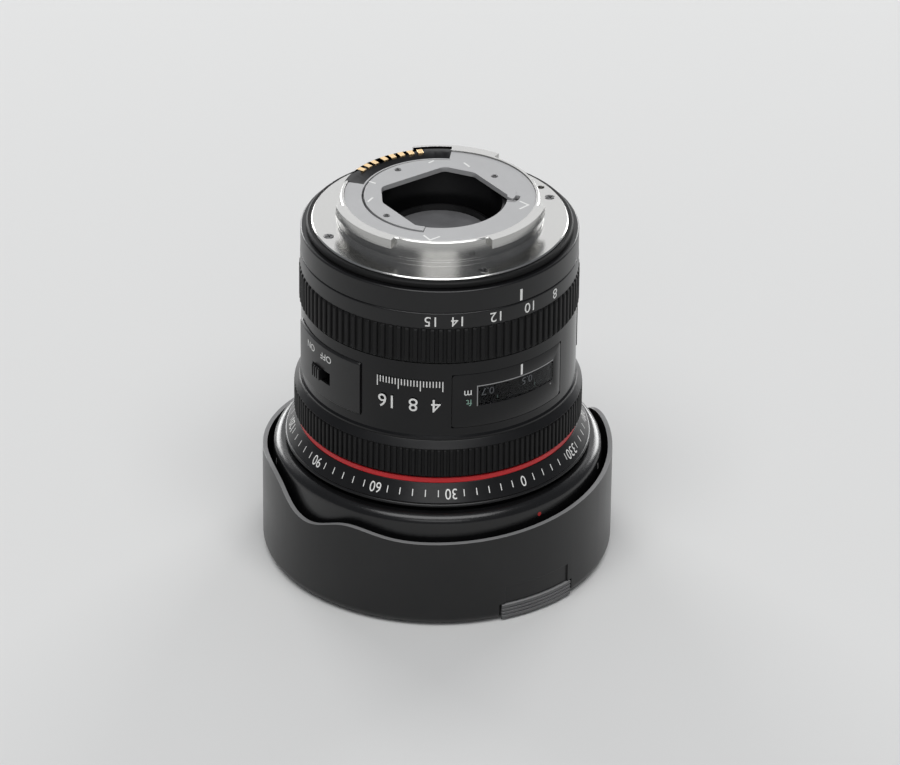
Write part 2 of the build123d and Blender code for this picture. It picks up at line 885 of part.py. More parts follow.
# Front group
front_curve = 38.0
front_seat_width = 4.35
front_inner_curve = 17.6
front_inner_margin = 1.0
front_inner_aperture = front_inner_curve - front_inner_margin
front_thickness = 3.0
front_edge = 2.0
nose_height = 11.0
cell_step = 0.6
front_cell_radius = housing_bore - cell_step
front_aperture = front_cell_radius - front_seat_width
cell_collar = 6.4
neck_wall = 1.6
second_radius = 16.0
second_thickness = 5.5
second_curve = 60.0
second_rise = 4.0
retainer_height = 5.0
retainer_lap = 0.9
retainer_steps = 3
neck_length = 8.2


def dome_drop(curve, aperture_half):
    """How far a spherical face falls back at the given distance from its middle."""
    return curve - math.sqrt(curve * curve - aperture_half * aperture_half)


z_front_rim = nose_height + dome_drop(front_curve, front_aperture)
z_front_seat = z_front_rim + front_edge
z_cell_top = z_front_seat + cell_collar
z_inner_rim = nose_height + front_thickness + dome_drop(front_inner_curve, front_inner_aperture)


def front_element():
    """The domed meniscus at the nose; its bulge points down."""
    profile = Plane.XZ * (
        ThreePointArc(
            (0, nose_height),
            (front_aperture / 2, nose_height + dome_drop(front_curve, front_aperture / 2)),
            (front_aperture, z_front_rim),
        )
        + Line((front_aperture, z_front_rim), (front_aperture, z_front_seat))
        + Line((front_aperture, z_front_seat), (front_inner_aperture, z_front_seat))
        + Line((front_inner_aperture, z_front_seat), (front_inner_aperture, z_inner_rim))
        + ThreePointArc(
            (front_inner_aperture, z_inner_rim),
            (
                front_inner_aperture / 2,
                nose_height + front_thickness + dome_drop(front_inner_curve, front_inner_aperture / 2),
            ),
            (0, nose_height + front_thickness),
        )
        + Line((0, nose_height + front_thickness), (0, nose_height))
    )
    return revolve(make_face(profile), Axis.Z)


def biconvex(radius, low, high, curve):
    """A lens element that bulges on both faces within the given heights."""
    drop = dome_drop(curve, radius)
    half_drop = dome_drop(curve, radius / 2)
    profile = Plane.XZ * (
        ThreePointArc((0, low), (radius / 2, low + half_drop), (radius, low + drop))
        + Line((radius, low + drop), (radius, high - drop))
        + ThreePointArc((radius, high - drop), (radius / 2, high - half_drop), (0, high))
        + Line((0, high), (0, low))
    )
    return revolve(make_face(profile), Axis.Z)


z_second = z_front_seat + second_rise
z_neck_top = z_web_top + neck_length
second_seat = second_radius - neck_wall


def front_cell():
    """The barrel that holds the front elements; its neck slides in the cam barrel."""
    body = turned(
        (front_aperture + run_gap, z_front_rim), (front_cell_radius, z_front_rim), (front_cell_radius, z_cell_top),
        (cell_radius, z_cell_top), (cell_radius, z_neck_top), (cell_radius - neck_wall, z_neck_top),
        (cell_radius - neck_wall, z_second + second_thickness + neck_wall),
        (second_seat, z_second + second_thickness + neck_wall), (second_seat, z_second + second_thickness),
        (second_radius + run_gap, z_second + second_thickness), (second_radius + run_gap, z_second - neck_wall / 2),
        (front_inner_aperture + neck_wall, z_front_seat), (front_aperture + run_gap, z_front_seat),
    )
    for angle in group_angles(front_roller_angle):
        body -= spoke(angle, cell_radius - neck_wall / 2, cell_radius + overrun, z_front_roller, roller_radius / 2)
    return body


def front_retainer():
    """The black ring round the front element, with turned steps that kill reflections."""
    low = z_front_rim - retainer_height
    lip_height = nose_height + dome_drop(front_curve, front_aperture - retainer_lap) - run_gap
    rise = (lip_height - run_gap - low) / retainer_steps
    lap = retainer_lap * 2 / retainer_steps
    points = [(front_aperture + retainer_lap, low)]
    for index in range(1, retainer_steps + 1):
        points.append((front_aperture + retainer_lap - lap * (index - 1), low + rise * index))
        points.append((front_aperture + retainer_lap - lap * index, low + rise * index))
    points.append((front_aperture - retainer_lap, lip_height))
    points.append((front_aperture, z_front_rim - run_gap))
    points.append((front_cell_radius, z_front_rim - run_gap))
    points.append((front_cell_radius, low))
    return turned(*points)


def second_element():
    return biconvex(second_radius, z_second, z_second + second_thickness, second_curve)


def stub_rollers(first, height, radius, seat, outer):
    """Shouldered rollers screwed into a cell, reaching out through the sleeves."""
    rollers = []
    for angle in group_angles(first):
        roller = spoke(angle, cell_radius, outer, height, radius)
        roller += spoke(angle, seat, cell_radius + run_gap, height, radius / 2)
        rollers.append(roller)
    return rollers


def front_rollers():
    return stub_rollers(
        front_roller_angle, z_front_roller, roller_radius, cell_radius - neck_wall / 2, guide_radius - ring_gap
    )


# Focus group
focus_cell_height = 6.0
focus_cell_wall = 2.4
focus_lens_radius = 15.0
focus_lens_curve = 60.0
focus_lens_thickness = 4.5
z_focus_cell = z_focus_roller - focus_cell_height / 2
focus_lens_seat = focus_lens_radius - focus_cell_wall / 2


def focus_cell():
    low = z_focus_cell
    high = low + focus_cell_height
    lens_high = low + focus_lens_thickness
    body = turned(
        (focus_lens_radius + run_gap, low), (cell_radius, low), (cell_radius, high), (focus_lens_seat, high),
        (focus_lens_seat, lens_high), (focus_lens_radius + run_gap, lens_high),
    )
    for angle in group_angles(focus_roller_angle):
        body -= spoke(
            angle, cell_radius - neck_wall / 2, cell_radius + overrun, z_focus_roller, focus_roller_radius / 2
        )
    return body


def focus_element():
    return biconvex(focus_lens_radius, z_focus_cell, z_focus_cell + focus_lens_thickness, focus_lens_curve)


def cell_rollers():
    return stub_rollers(
        focus_roller_angle, z_focus_roller, focus_roller_radius, cell_radius - neck_wall / 2,
        focus_cam_radius - ring_gap,
    )


# Rear group with the iris
rear_cell_height = 9.0
rear_neck_play = 1.4
rear_neck_radius = baffle_bore - rear_neck_play
rear_neck_wall = 1.4
rear_web_height = 2.0
rear_glass_margin = 1.8
rear_glass_radius = rear_neck_radius - rear_glass_margin
rear_glass_depth = 4.0
rear_glass_curve = 60.0
rear_glass_drop = 3.6
middle_thickness = 5.0
middle_curve = 60.0
middle_rise = 3.0
z_rear_cell = z_rear_roller - rear_cell_height / 2 + roller_radius
z_rear_cell_top = z_rear_cell + rear_cell_height
z_rear_glass_top = z_flange - rear_glass_drop
z_rear_glass = z_rear_glass_top - rear_glass_depth
rear_neck_bore = rear_neck_radius - rear_neck_wall
rear_lip = 0.6


def rear_cell():
    """The moving barrel behind the iris, with the long neck that shows in the mount."""
    seat = rear_glass_radius + run_gap
    body = turned(
        (rear_neck_bore, z_rear_cell), (cell_radius, z_rear_cell), (cell_radius, z_rear_cell_top),
        (cell_radius - neck_wall, z_rear_cell_top), (cell_radius - neck_wall, z_rear_cell + rear_web_height),
        (rear_neck_radius, z_rear_cell + rear_web_height), (rear_neck_radius, z_rear_glass_top - rear_lip),
        (rear_neck_radius - rear_lip * 2, z_rear_glass_top + rear_lip / 2), (seat, z_rear_glass_top + rear_lip / 2),
        (seat, z_rear_glass), (seat - rear_lip, z_rear_glass), (seat - rear_lip, z_rear_glass - rear_lip),
        (rear_neck_bore, z_rear_glass - rear_lip),
    )
    for angle in group_angles(rear_roller_angle):
        body -= spoke(
            angle, cell_radius - neck_wall / 2, cell_radius + overrun, z_rear_roller, rear_roller_radius / 2
        )
    return body - post(
        iris_motor_angle, iris_motor_distance, z_rear_cell - overrun, z_rear_cell + rear_web_height + overrun,
        iris_motor_shaft + run_gap,
    )


def rear_element():
    return biconvex(rear_glass_radius, z_rear_glass, z_rear_glass_top, rear_glass_curve)


def middle_element():
    low = z_rear_cell + middle_rise
    return biconvex(rear_neck_bore - run_gap, low, low + middle_thickness, middle_curve)


def rear_rollers():
    return stub_rollers(
        rear_roller_angle, z_rear_roller, rear_roller_radius, cell_radius - neck_wall / 2, guide_radius - ring_gap
    )


# Iris: seven blades turn on pivots in the housing, their drive pins sit in the ring's slots
blade_count = 7
blade_thickness = 0.25
blade_gap = 0.1
blade_depth = 4.2
blade_tip_margin = 1.1
blade_span = 92.0
pivot_inset = 3.8
drive_inset = 1.3
blade_pin = 0.6
blade_head = 1.5
iris_open_margin = 0.6
iris_plate = 1.6
iris_wall = 0.8
iris_ring_height = 1.1
iris_ring_play = 1.95
iris_ring_width = 4.0
iris_ring_outer = cell_radius - iris_ring_play
iris_ring_inner = iris_ring_outer - iris_ring_width
drive_distance = iris_ring_outer - drive_inset
pivot_distance = drive_distance - pivot_inset
blade_outer = pivot_distance - blade_tip_margin
blade_inner = blade_outer - blade_depth
iris_open = blade_inner - iris_open_margin
iris_pivot_depth = 1.0
blade_close = 34.0
iris_gap = 0.15
blade_level = blade_thickness + blade_gap
blade_stack = blade_level * blade_count
z_iris_top = z_rear_cell
z_iris_ring_top = z_iris_top - iris_gap
z_iris_ring = z_iris_ring_top - iris_ring_height
z_blades = z_iris_ring - iris_gap - blade_stack
z_iris_plate = z_blades - iris_gap
z_iris = z_iris_plate - iris_plate
blade_step = full_turn / blade_count


def iris_housing():
    outer = cell_radius
    body = turned(
        (iris_open, z_iris), (outer, z_iris), (outer, z_iris_top), (outer - iris_wall, z_iris_top),
        (outer - iris_wall, z_iris_plate), (iris_open, z_iris_plate),
    )
    for index in range(blade_count):
        body -= post(
            index * blade_step, pivot_distance, z_iris_plate - iris_pivot_depth - blade_gap, z_iris_plate + overrun,
            blade_pin + run_gap,
        )
    return body


def iris_blade(index):
    """One crescent blade with its pivot pin below and its drive pin above."""
    low = z_blades + blade_level * index
    high = low + blade_thickness
    angle = index * blade_step
    blade = sector(blade_inner, blade_outer, low, high, angle + blade_span / 2, blade_span)
    blade += post(angle, pivot_distance, low, high, blade_head)
    blade += block(angle, blade_outer - blade_pin, drive_distance, low, high, blade_pin * 2)
    blade += post(angle, pivot_distance, z_iris_plate - iris_pivot_depth, low, blade_pin)
    blade += post(angle, drive_distance, high, z_iris_ring_top - iris_ring_height / 4, blade_pin)
    return blade


def iris_ring():
    """The ring that swings all seven blades by their drive pins, which slide in its short slots."""
    low = z_iris_ring
    high = z_iris_ring_top
    body = tube(iris_ring_inner, iris_ring_outer, low, high)
    radius = blade_pin + iris_gap
    arm = drive_distance - pivot_distance
    close = math.radians(blade_close)
    closed_distance = math.hypot(pivot_distance + arm * math.cos(close), arm * math.sin(close))
    for index in range(blade_count):
        angle = index * blade_step
        body -= block(angle, closed_distance, drive_distance, low - overrun, high + overrun, radius * 2)
        for distance in (closed_distance, drive_distance):
            body -= post(angle, distance, low - overrun, high + overrun, radius)
    return body


iris_motor_radius = 2.4
iris_motor_length = 7.0
iris_motor_inset = 6.35
iris_motor_distance = cell_radius - iris_motor_inset
iris_motor_angle = 100.0
iris_motor_shaft = 0.8


def iris_motor():
    """The small stepping motor that stands on the rear cell's web; its shaft goes through."""
    low = z_rear_cell + rear_web_height
    body = post(iris_motor_angle, iris_motor_distance, low, low + iris_motor_length, iris_motor_radius)
    return body + post(iris_motor_angle, iris_motor_distance, z_rear_cell, low, iris_motor_shaft)


# Main board under the rear web
board_thickness = 1.2
board_span = 300.0
board_angle = 0.0
chip_count = 5
chip_size = 3.0
chip_height = 0.9


def main_board():
    low = z_web - board_thickness
    inner = guide_radius + seat_gap
    outer = rear_radius - rear_wall - seat_gap
    board = sector(inner, outer, low, z_web, board_angle, board_span)
    for index in range(chip_count):
        angle = board_angle + board_span * (index - (chip_count - 1) / 2) / chip_count
        board += block(
            angle, (inner + outer - chip_size) / 2, (inner + outer + chip_size) / 2, low - chip_height, low + run_gap,
            chip_size,
        )
    return board


# Petal hood
hood_wall = 1.3
hood_shoulder = 2.6
hood_flare = 0.9
hood_ring_height = 7.5
hood_ring_chamfer = 2.4
petal_cut_depth = 10.0
petal_cut_width = 42.0
petal_corner = 6.0
button_angle = 210.0
button_width = 7.0
button_height = 3.0
button_drop = 4.5
button_travel = 0.8
button_sink = 0.3
z_button = z_hood_top - button_drop


def lens_hood():
    """A turned shell with two long and two short petals, and three inward bayonet lugs."""
    tip_radius = hood_radius + hood_flare
    corner = hood_shoulder * (1 - math.sin(math.pi / 4))
    ring_low = z_hood_top - hood_ring_height
    thin_radius = hood_radius - hood_wall
    profile = Plane.XZ * (
        Line((hood_bore, z_hood_top), (hood_radius - hood_shoulder, z_hood_top))
        + ThreePointArc(
            (hood_radius - hood_shoulder, z_hood_top), (hood_radius - corner, z_hood_top - corner),
            (hood_radius, z_hood_top - hood_shoulder),
        )
        + Line((hood_radius, z_hood_top - hood_shoulder), (tip_radius, z_hood_tip))
        + Line((tip_radius, z_hood_tip), (tip_radius - hood_wall, z_hood_tip))
        + Line((tip_radius - hood_wall, z_hood_tip), (thin_radius, ring_low - hood_ring_chamfer))
        + Line((thin_radius, ring_low - hood_ring_chamfer), (hood_bore, ring_low))
        + Line((hood_bore, ring_low), (hood_bore, z_hood_top))
    )
    body = revolve(make_face(profile), Axis.Z)
    cutter = Rectangle(petal_cut_width, petal_cut_depth * 2)
    cutter = fillet(cutter.vertices(), petal_corner)
    body -= Pos(0, 0, z_hood_tip) * extrude(Plane.YZ * cutter, amount=cap_radius * 2, both=True)
    for angle in group_angles(hood_lug_first):
        body += sector(
            collar_radius + seat_gap, hood_bore + run_gap, z_rim - hood_lug_rise + ring_gap,
            z_rim - hood_lug_rise + ring_gap + hood_lug_height, angle, hood_lug_angle,
        )
    return body - block(
        button_angle, hood_bore - overrun, cap_radius, z_button - button_height / 2, z_button + button_height / 2,
        button_width,
    )


def hood_button():
    """The catch that lets the hood turn, sunk in its bayonet ring."""
    half = button_height / 2 - run_gap
    return block(
        button_angle, hood_bore + button_travel + run_gap, hood_radius - button_sink, z_button - half,
        z_button + half, button_width - run_gap * 2,
    )


# Push-on cap
cap_wall = 1.2
cap_drum = 24.4
cap_edge = 2.8
cap_lobe = 4.4
cap_dip = 2.3
cap_crest = 1.6
cap_bore = cap_radius - cap_wall
tab_width_angle = 29.0
tab_gap = 0.25
tab_side_gap = 0.6
tab_pocket = 2.4
tab_rise = 0.2
tab_ridges = 4
tab_groove = 0.4
tab_recess = 0.4
tab_recess_angle = 4.0
tab_recess_height = 5.0
tab_low = 0.6
seat_width = 2.2
latch_reach = 5.0
latch_height = 11.0
latch_width = 12.0
latch_thickness = 1.3
latch_hook = 0.45
latch_hook_height = 1.5
latch_lift = 0.3
z_latch = cap_base + latch_lift

# The rim's wave: side angle from the long petal, and height as a share of lobe, dip and crest
wave_turn_shares = (0.0, 0.18, 0.36, 0.52, 0.60, 0.645, 0.69, 0.74, 0.82, 0.90)
wave_lobe_shares = (0.0, 0.20, 0.55, 0.90, 1.0, 0.62, 0.0, 0.0, 0.0, 0.0)
wave_dip_shares = (0.0, 0.0, 0.0, 0.0, 0.0, 0.0, 0.55, 1.0, 0.0, 0.0)
wave_crest_shares = (0.0, 0.0, 0.0, 0.0, 0.0, 0.0, 0.0, 0.0, 0.9, 0.35)
wave_start = -35.0


def wave_height(lobe, dip, crest):
    return cap_drum + cap_lobe * lobe - cap_dip * dip + cap_crest * crest


def wave_edge(distance):
    """The waved line of the rim at one radius; the two halves of the cap are alike."""
    points = []
    for half in (0, 1):
        for turn, lobe, dip, crest in zip(wave_turn_shares, wave_lobe_shares, wave_dip_shares, wave_crest_shares):
            angle = math.radians(wave_start + (half + turn) * full_turn / 2)
            points.append((distance * math.sin(angle), -distance * math.cos(angle), wave_height(lobe, dip, crest)))
    return Spline(*points, periodic=True)


def lens_cap():
    """A drum with a waved rim, windows for the squeeze tabs and a flat base."""
    top = cap_drum + cap_lobe + overrun
    corner = cap_edge * (1 - math.sin(math.pi / 4))
    seat_radius = cap_bore - seat_width
    seat_top = z_hood_tip - seat_gap
    profile = Plane.XZ * (
        Line((0, 0), (cap_radius - cap_edge, 0))
        + ThreePointArc((cap_radius - cap_edge, 0), (cap_radius - corner, corner), (cap_radius, cap_edge))
        + Line((cap_radius, cap_edge), (cap_radius, top))
        + Line((cap_radius, top), (cap_bore, top))
        + Line((cap_bore, top), (cap_bore, seat_top))
        + Line((cap_bore, seat_top), (seat_radius, seat_top))
        + Line((seat_radius, seat_top), (seat_radius, cap_base))
        + Line((seat_radius, cap_base), (0, cap_base))
        + Line((0, cap_base), (0, 0))
    )
    wave = Face.make_surface_from_curves(wave_edge(cap_bore - overrun), wave_edge(cap_radius + overrun))
    body = revolve(make_face(profile), Axis.Z) - Solid.extrude(wave, Vector(0, 0, cap_drum))
    for angle in (0, full_turn / 2):
        body -= sector(cap_bore - tab_pocket, cap_radius + overrun, tab_low, z_hood_tip, angle, tab_width_angle)
        body -= sector(
            cap_radius - tab_recess, cap_radius + overrun, z_hood_tip - run_gap, z_hood_tip + tab_recess_height,
            angle, tab_width_angle - tab_recess_angle,
        )
    return body


def cap_latch(angle):
    """A squeeze tab with ridges; its tongue runs on the cap's floor to a hook inside the petal."""
    gap_angle = math.degrees(tab_side_gap / cap_radius)
    width = tab_width_angle - gap_angle * 2
    outer = cap_radius + tab_rise
    low = tab_low + tab_gap
    high = z_hood_tip - tab_gap
    body = sector(cap_bore, outer, low, high, angle, width)
    pitch = (high - low) / tab_ridges
    for index in range(1, tab_ridges):
        height = low + pitch * index
        body -= sector(
            outer - tab_groove, outer + overrun, height - tab_groove / 2, height + tab_groove / 2, angle,
            tab_width_angle,
        )
    finger = cap_bore - latch_reach
    hook_top = z_latch + latch_height
    body += block(angle, finger, cap_bore + cap_wall / 2, z_latch, z_latch + latch_thickness, latch_width)
    body += block(angle, finger, finger + latch_thickness, z_latch, hook_top, latch_width)
    return body + block(
        angle, finger, finger + latch_thickness + latch_hook, hook_top - latch_hook_height, hook_top, latch_width
    )


pieces = {
    "mount_ring": mount_ring,
    "mount_screws": mount_screws,
    "rear_gasket": rear_gasket,
    "contact_block": contact_block,
    "contact_pads": contact_pads,
    "filter_plate": filter_plate,
    "filter_holder": filter_holder,
    "plate_screws": plate_screws,
    "rear_baffle": rear_baffle,
    "rear_barrel": rear_barrel,
    "main_board": main_board,
    "guide_barrel": guide_barrel,
    "fixed_barrel": fixed_barrel,
    "window_glass": window_glass,
    "motor_stator": motor_stator,
    "motor_rotor": motor_rotor,
    "front_housing": front_housing,
    "name_ring": name_ring,
    "red_ring": red_ring,
    "zoom_ring": zoom_ring,
    "zoom_grip": zoom_grip,
    "zoom_key": zoom_key,
    "cam_barrel": cam_barrel,
    "focus_ring": focus_ring,
    "focus_grip": focus_grip,
    "focus_cam_ring": focus_cam_ring,
    "focus_rollers": focus_rollers,
    "distance_scale": distance_scale,
    "front_cell": front_cell,
    "front_retainer": front_retainer,
    "front_element": front_element,
    "second_element": second_element,
    "front_rollers": front_rollers,
    "focus_cell": focus_cell,
    "focus_element": focus_element,
    "cell_rollers": cell_rollers,
    "rear_cell": rear_cell,
    "rear_element": rear_element,
    "middle_element": middle_element,
    "rear_rollers": rear_rollers,
    "iris_housing": iris_housing,
    "iris_ring": iris_ring,
    "iris_motor": iris_motor,
    "lens_hood": lens_hood,
    "hood_button": hood_button,
    "lens_cap": lens_cap,
}

for name, make in pieces.items():
    save(name, make())

for index in range(blade_count):
    save("iris_blade_" + str(index + 1), iris_blade(index))

save("limit_plate", switch_plate(limit_angle, limit_width_angle, limit_rise))
save("limit_knob", switch_knob(limit_angle, limit_rise))
save("mode_plate", switch_plate(mode_angle, mode_width_angle, mode_rise))
save("mode_knob", switch_knob(mode_angle, mode_rise))
save("cap_latch_top", cap_latch(0))
save("cap_latch_bottom", cap_latch(full_turn / 2))
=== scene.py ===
"""A fisheye zoom lens standing nose down on its push-on cap, dressed for a studio picture.

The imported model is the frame. It stands in metres with +Z up the optical axis and its top side,
where the index marks are, towards -Y. Side angles are degrees, counted from that top side, and grow
towards +X. Sizes in this script are millimetres, apart from the studio's, which are metres.
"""
from __future__ import annotations

import json
import logging
import math
from dataclasses import dataclass, replace
from enum import Enum
from typing import Callable, Sequence

import bmesh
import bpy
from bpy.types import Material, Mesh, Node, NodeSocket, NodeTree, Object
from mathutils import Matrix, Vector

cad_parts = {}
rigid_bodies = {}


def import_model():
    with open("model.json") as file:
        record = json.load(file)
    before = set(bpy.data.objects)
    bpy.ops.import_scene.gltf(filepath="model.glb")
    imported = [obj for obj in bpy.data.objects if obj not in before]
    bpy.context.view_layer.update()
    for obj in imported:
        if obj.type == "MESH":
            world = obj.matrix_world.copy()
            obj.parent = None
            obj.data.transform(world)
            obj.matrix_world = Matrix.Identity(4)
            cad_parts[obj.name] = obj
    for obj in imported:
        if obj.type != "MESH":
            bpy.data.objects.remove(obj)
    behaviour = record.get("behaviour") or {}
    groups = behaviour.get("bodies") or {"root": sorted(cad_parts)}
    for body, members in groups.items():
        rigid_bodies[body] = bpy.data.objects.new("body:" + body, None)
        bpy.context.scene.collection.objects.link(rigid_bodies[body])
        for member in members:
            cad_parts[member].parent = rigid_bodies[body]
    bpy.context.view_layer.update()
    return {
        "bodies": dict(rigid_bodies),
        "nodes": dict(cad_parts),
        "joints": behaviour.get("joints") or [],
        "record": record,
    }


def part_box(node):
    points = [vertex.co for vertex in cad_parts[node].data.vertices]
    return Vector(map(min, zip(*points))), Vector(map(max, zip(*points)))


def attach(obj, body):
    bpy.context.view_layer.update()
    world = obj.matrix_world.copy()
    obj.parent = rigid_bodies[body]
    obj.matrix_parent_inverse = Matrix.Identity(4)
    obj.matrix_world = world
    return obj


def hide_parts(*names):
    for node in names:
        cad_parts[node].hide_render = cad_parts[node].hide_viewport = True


LOG = logging.getLogger("lens")
MM = 0.001
FULL_TURN = 360.0
# How far a piece reaches into what it sits on, half a mark's thickness, and how far a mark stands out.
SINK = 0.05
MARK_HALF = 0.04
MARK_LIFT = 0.02

Point = tuple[float, float]
Place = tuple[float, float, float]
Word = tuple[str, float, float]


def around(angle: float, distance: float, height: float) -> Vector:
    """Gives a point of the lens in metres.

    Args:
        angle: side angle in degrees.
        distance: distance from the optical axis.
        height: height above the floor.

    Returns:
        The point, in the frame's own axes.
    """
    turn = math.radians(angle)
    return Vector((distance * math.sin(turn), -distance * math.cos(turn), height)) * MM


def span(node: str) -> Point:
    """Gives the lowest and highest point of a node of the frame."""
    low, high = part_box(node)
    return low.z / MM, high.z / MM


def reach(node: str) -> float:
    """Gives how far a node of the frame reaches from the optical axis, along X or Y."""
    low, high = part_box(node)
    return max(-low.x, -low.y, high.x, high.y) / MM


# Finishes


class Grain(Enum):
    """How the fine relief of a surface runs."""

    NONE = "none"
    SPECKLED = "speckled"
    TURNED = "turned"


def new_group(name: str, output: str, **inputs: float) -> NodeTree:
    """Makes an empty shader node group.

    Args:
        name: the group's name.
        output: the name of the number that comes out.
        inputs: the default of each number that goes in.

    Returns:
        The group, with its group input and output nodes in place.
    """
    group = bpy.data.node_groups.new(name, "ShaderNodeTree")
    for title, value in inputs.items():
        socket = group.interface.new_socket(title, in_out="INPUT", socket_type="NodeSocketFloat")
        socket.default_value = value
    group.interface.new_socket(output, in_out="OUTPUT", socket_type="NodeSocketFloat")
    group.nodes.new("NodeGroupInput").name = "in"
    group.nodes.new("NodeGroupOutput").name = "out"
    return group


def feed(tree: NodeTree, socket: NodeSocket, value: object) -> None:
    """Gives an input its value.

    Args:
        tree: the node tree.
        socket: the input.
        value: a socket, which is linked, or a plain value, which is set.
    """
    if isinstance(value, NodeSocket):
        tree.links.new(value, socket)
    else:
        socket.default_value = value


def math_node(tree: NodeTree, operation: str, first: object, second: object = 0.0) -> NodeSocket:
    """Adds a Math node.

    Args:
        tree: the node tree.
        operation: the Math node's operation.
        first: a socket or a number.
        second: a socket or a number.

    Returns:
        The node's output.
    """
    node = tree.nodes.new("ShaderNodeMath")
    node.operation = operation
    feed(tree, node.inputs[0], first)
    feed(tree, node.inputs[1], second)
    return node.outputs[0]


def mix_node(tree: NodeTree, amount: NodeSocket, first: object, second: object) -> NodeSocket:
    """Adds a Mix node for colours.

    Args:
        tree: the node tree.
        amount: how much of the second colour shows.
        first: a socket or a colour.
        second: a socket or a colour.

    Returns:
        The node's output.
    """
    node = tree.nodes.new("ShaderNodeMix")
    node.data_type = "RGBA"
    for title, value in (("Factor", amount), ("A", first), ("B", second)):
        feed(tree, node.inputs[title], value)
    return node.outputs["Result"]


def group_node(tree: NodeTree, group: NodeTree) -> Node:
    """Adds a node that runs a node group.

    Args:
        tree: the node tree.
        group: the node group.

    Returns:
        The node.
    """
    node = tree.nodes.new("ShaderNodeGroup")
    node.node_tree = group
    return node


class SurfaceGroups:
    """The node groups that all finishes share. Each gives one number."""

    CLOUD_SPREAD = 4.0
    RIM_STEEPNESS = 2.5

    def __init__(self) -> None:
        """Builds the groups once."""
        self.relief = {Grain.SPECKLED: self.speckled(), Grain.TURNED: self.turned()}
        self.cloud = self.clouded()
        self.dust = self.dusted()
        self.upward = self.facing_up()

    def coordinate(self, group: NodeTree, title: str = "Object") -> NodeSocket:
        """Adds a Texture Coordinate node and gives one of its outputs."""
        return group.nodes.new("ShaderNodeTexCoord").outputs[title]

    def texture(self, group: NodeTree, kind: str, place: NodeSocket, **settings: float) -> Node:
        """Adds a texture at the scale that comes into its group.

        Args:
            group: the group, with an input named Scale.
            kind: the kind of texture, Noise or Voronoi.
            place: the socket that says where the texture is read.
            settings: values of other inputs of the texture.

        Returns:
            The texture's node.
        """
        texture = group.nodes.new("ShaderNodeTex" + kind)
        for title, value in settings.items():
            texture.inputs[title].default_value = value
        group.links.new(place, texture.inputs["Vector"])
        group.links.new(group.nodes["in"].outputs["Scale"], texture.inputs["Scale"])
        return texture

    def split(self, group: NodeTree, vector: NodeSocket) -> bpy.types.NodeOutputs:
        """Adds a node that splits a vector.

        Args:
            group: the group.
            vector: the socket that gives the vector.

        Returns:
            The outputs X, Y and Z.
        """
        parts = group.nodes.new("ShaderNodeSeparateXYZ")
        group.links.new(vector, parts.inputs[0])
        return parts.outputs

    def ended(self, group: NodeTree, result: NodeSocket) -> NodeTree:
        """Links the result to the group's one output and gives the group."""
        group.links.new(result, group.nodes["out"].inputs[0])
        return group

    def speckled(self) -> NodeTree:
        """Builds fine pits and bumps, as on a blasted or moulded surface.

        Returns:
            The group, with its input Scale.
        """
        group = new_group("fine_speckle", "Height", Scale=2000.0)
        noise = self.texture(group, "Noise", self.coordinate(group), Detail=3.0, Roughness=0.6)
        return self.ended(group, noise.outputs["Fac"])

    def turned(self) -> NodeTree:
        """Builds lathe marks, fine circles about the optical axis.

        Returns:
            The group, with its input Scale.
        """
        group = new_group("turning_marks", "Height", Scale=9000.0)
        parts = self.split(group, self.coordinate(group))
        across = math_node(group, "MULTIPLY", parts["X"], parts["X"])
        along = math_node(group, "MULTIPLY", parts["Y"], parts["Y"])
        radius = math_node(group, "SQRT", math_node(group, "ADD", across, along))
        both = group.nodes.new("ShaderNodeCombineXYZ")
        group.links.new(radius, both.inputs["X"])
        group.links.new(parts["Z"], both.inputs["Y"])
        noise = self.texture(group, "Noise", both.outputs[0], Detail=4.0, Roughness=0.75)
        noise.noise_dimensions = "2D"
        return self.ended(group, noise.outputs["Fac"])

    def clouded(self) -> NodeTree:
        """Builds a slow unevenness, as handling leaves it, about as far below zero as above.

        Returns:
            The group, with its input Scale.
        """
        group = new_group("handling_cloud", "Shift", Scale=90.0)
        noise = self.texture(group, "Noise", self.coordinate(group), Detail=5.0, Roughness=0.65)
        centred = math_node(group, "SUBTRACT", noise.outputs["Fac"], 0.5)
        return self.ended(group, math_node(group, "MULTIPLY", centred, self.CLOUD_SPREAD))

    def dusted(self) -> NodeTree:
        """Builds sparse specks of dust and lint.

        Returns:
            The group, with its inputs Scale and Size, whose mask is 1 on a speck.
        """
        group = new_group("dust_specks", "Mask", Scale=700.0, Size=0.05)
        cells = self.texture(group, "Voronoi", self.coordinate(group))
        size = group.nodes["in"].outputs["Size"]
        return self.ended(group, math_node(group, "LESS_THAN", cells.outputs["Distance"], size))

    def facing_up(self) -> NodeTree:
        """Builds the mask of up-facing rims that get a painted highlight, pale as if lit from above.

        Returns:
            The group, with its input Low, whose mask grows to 1 as the surface turns toward the mount.
        """
        group = new_group("upward_faces", "Mask", Low=0.3)
        parts = self.split(group, self.coordinate(group, "Normal"))
        over = math_node(group, "SUBTRACT", parts["Z"], group.nodes["in"].outputs["Low"])
        steep = math_node(group, "MULTIPLY", over, self.RIM_STEEPNESS)
        return self.ended(group, math_node(group, "MAXIMUM", math_node(group, "MINIMUM", steep, 1.0), 0.0))


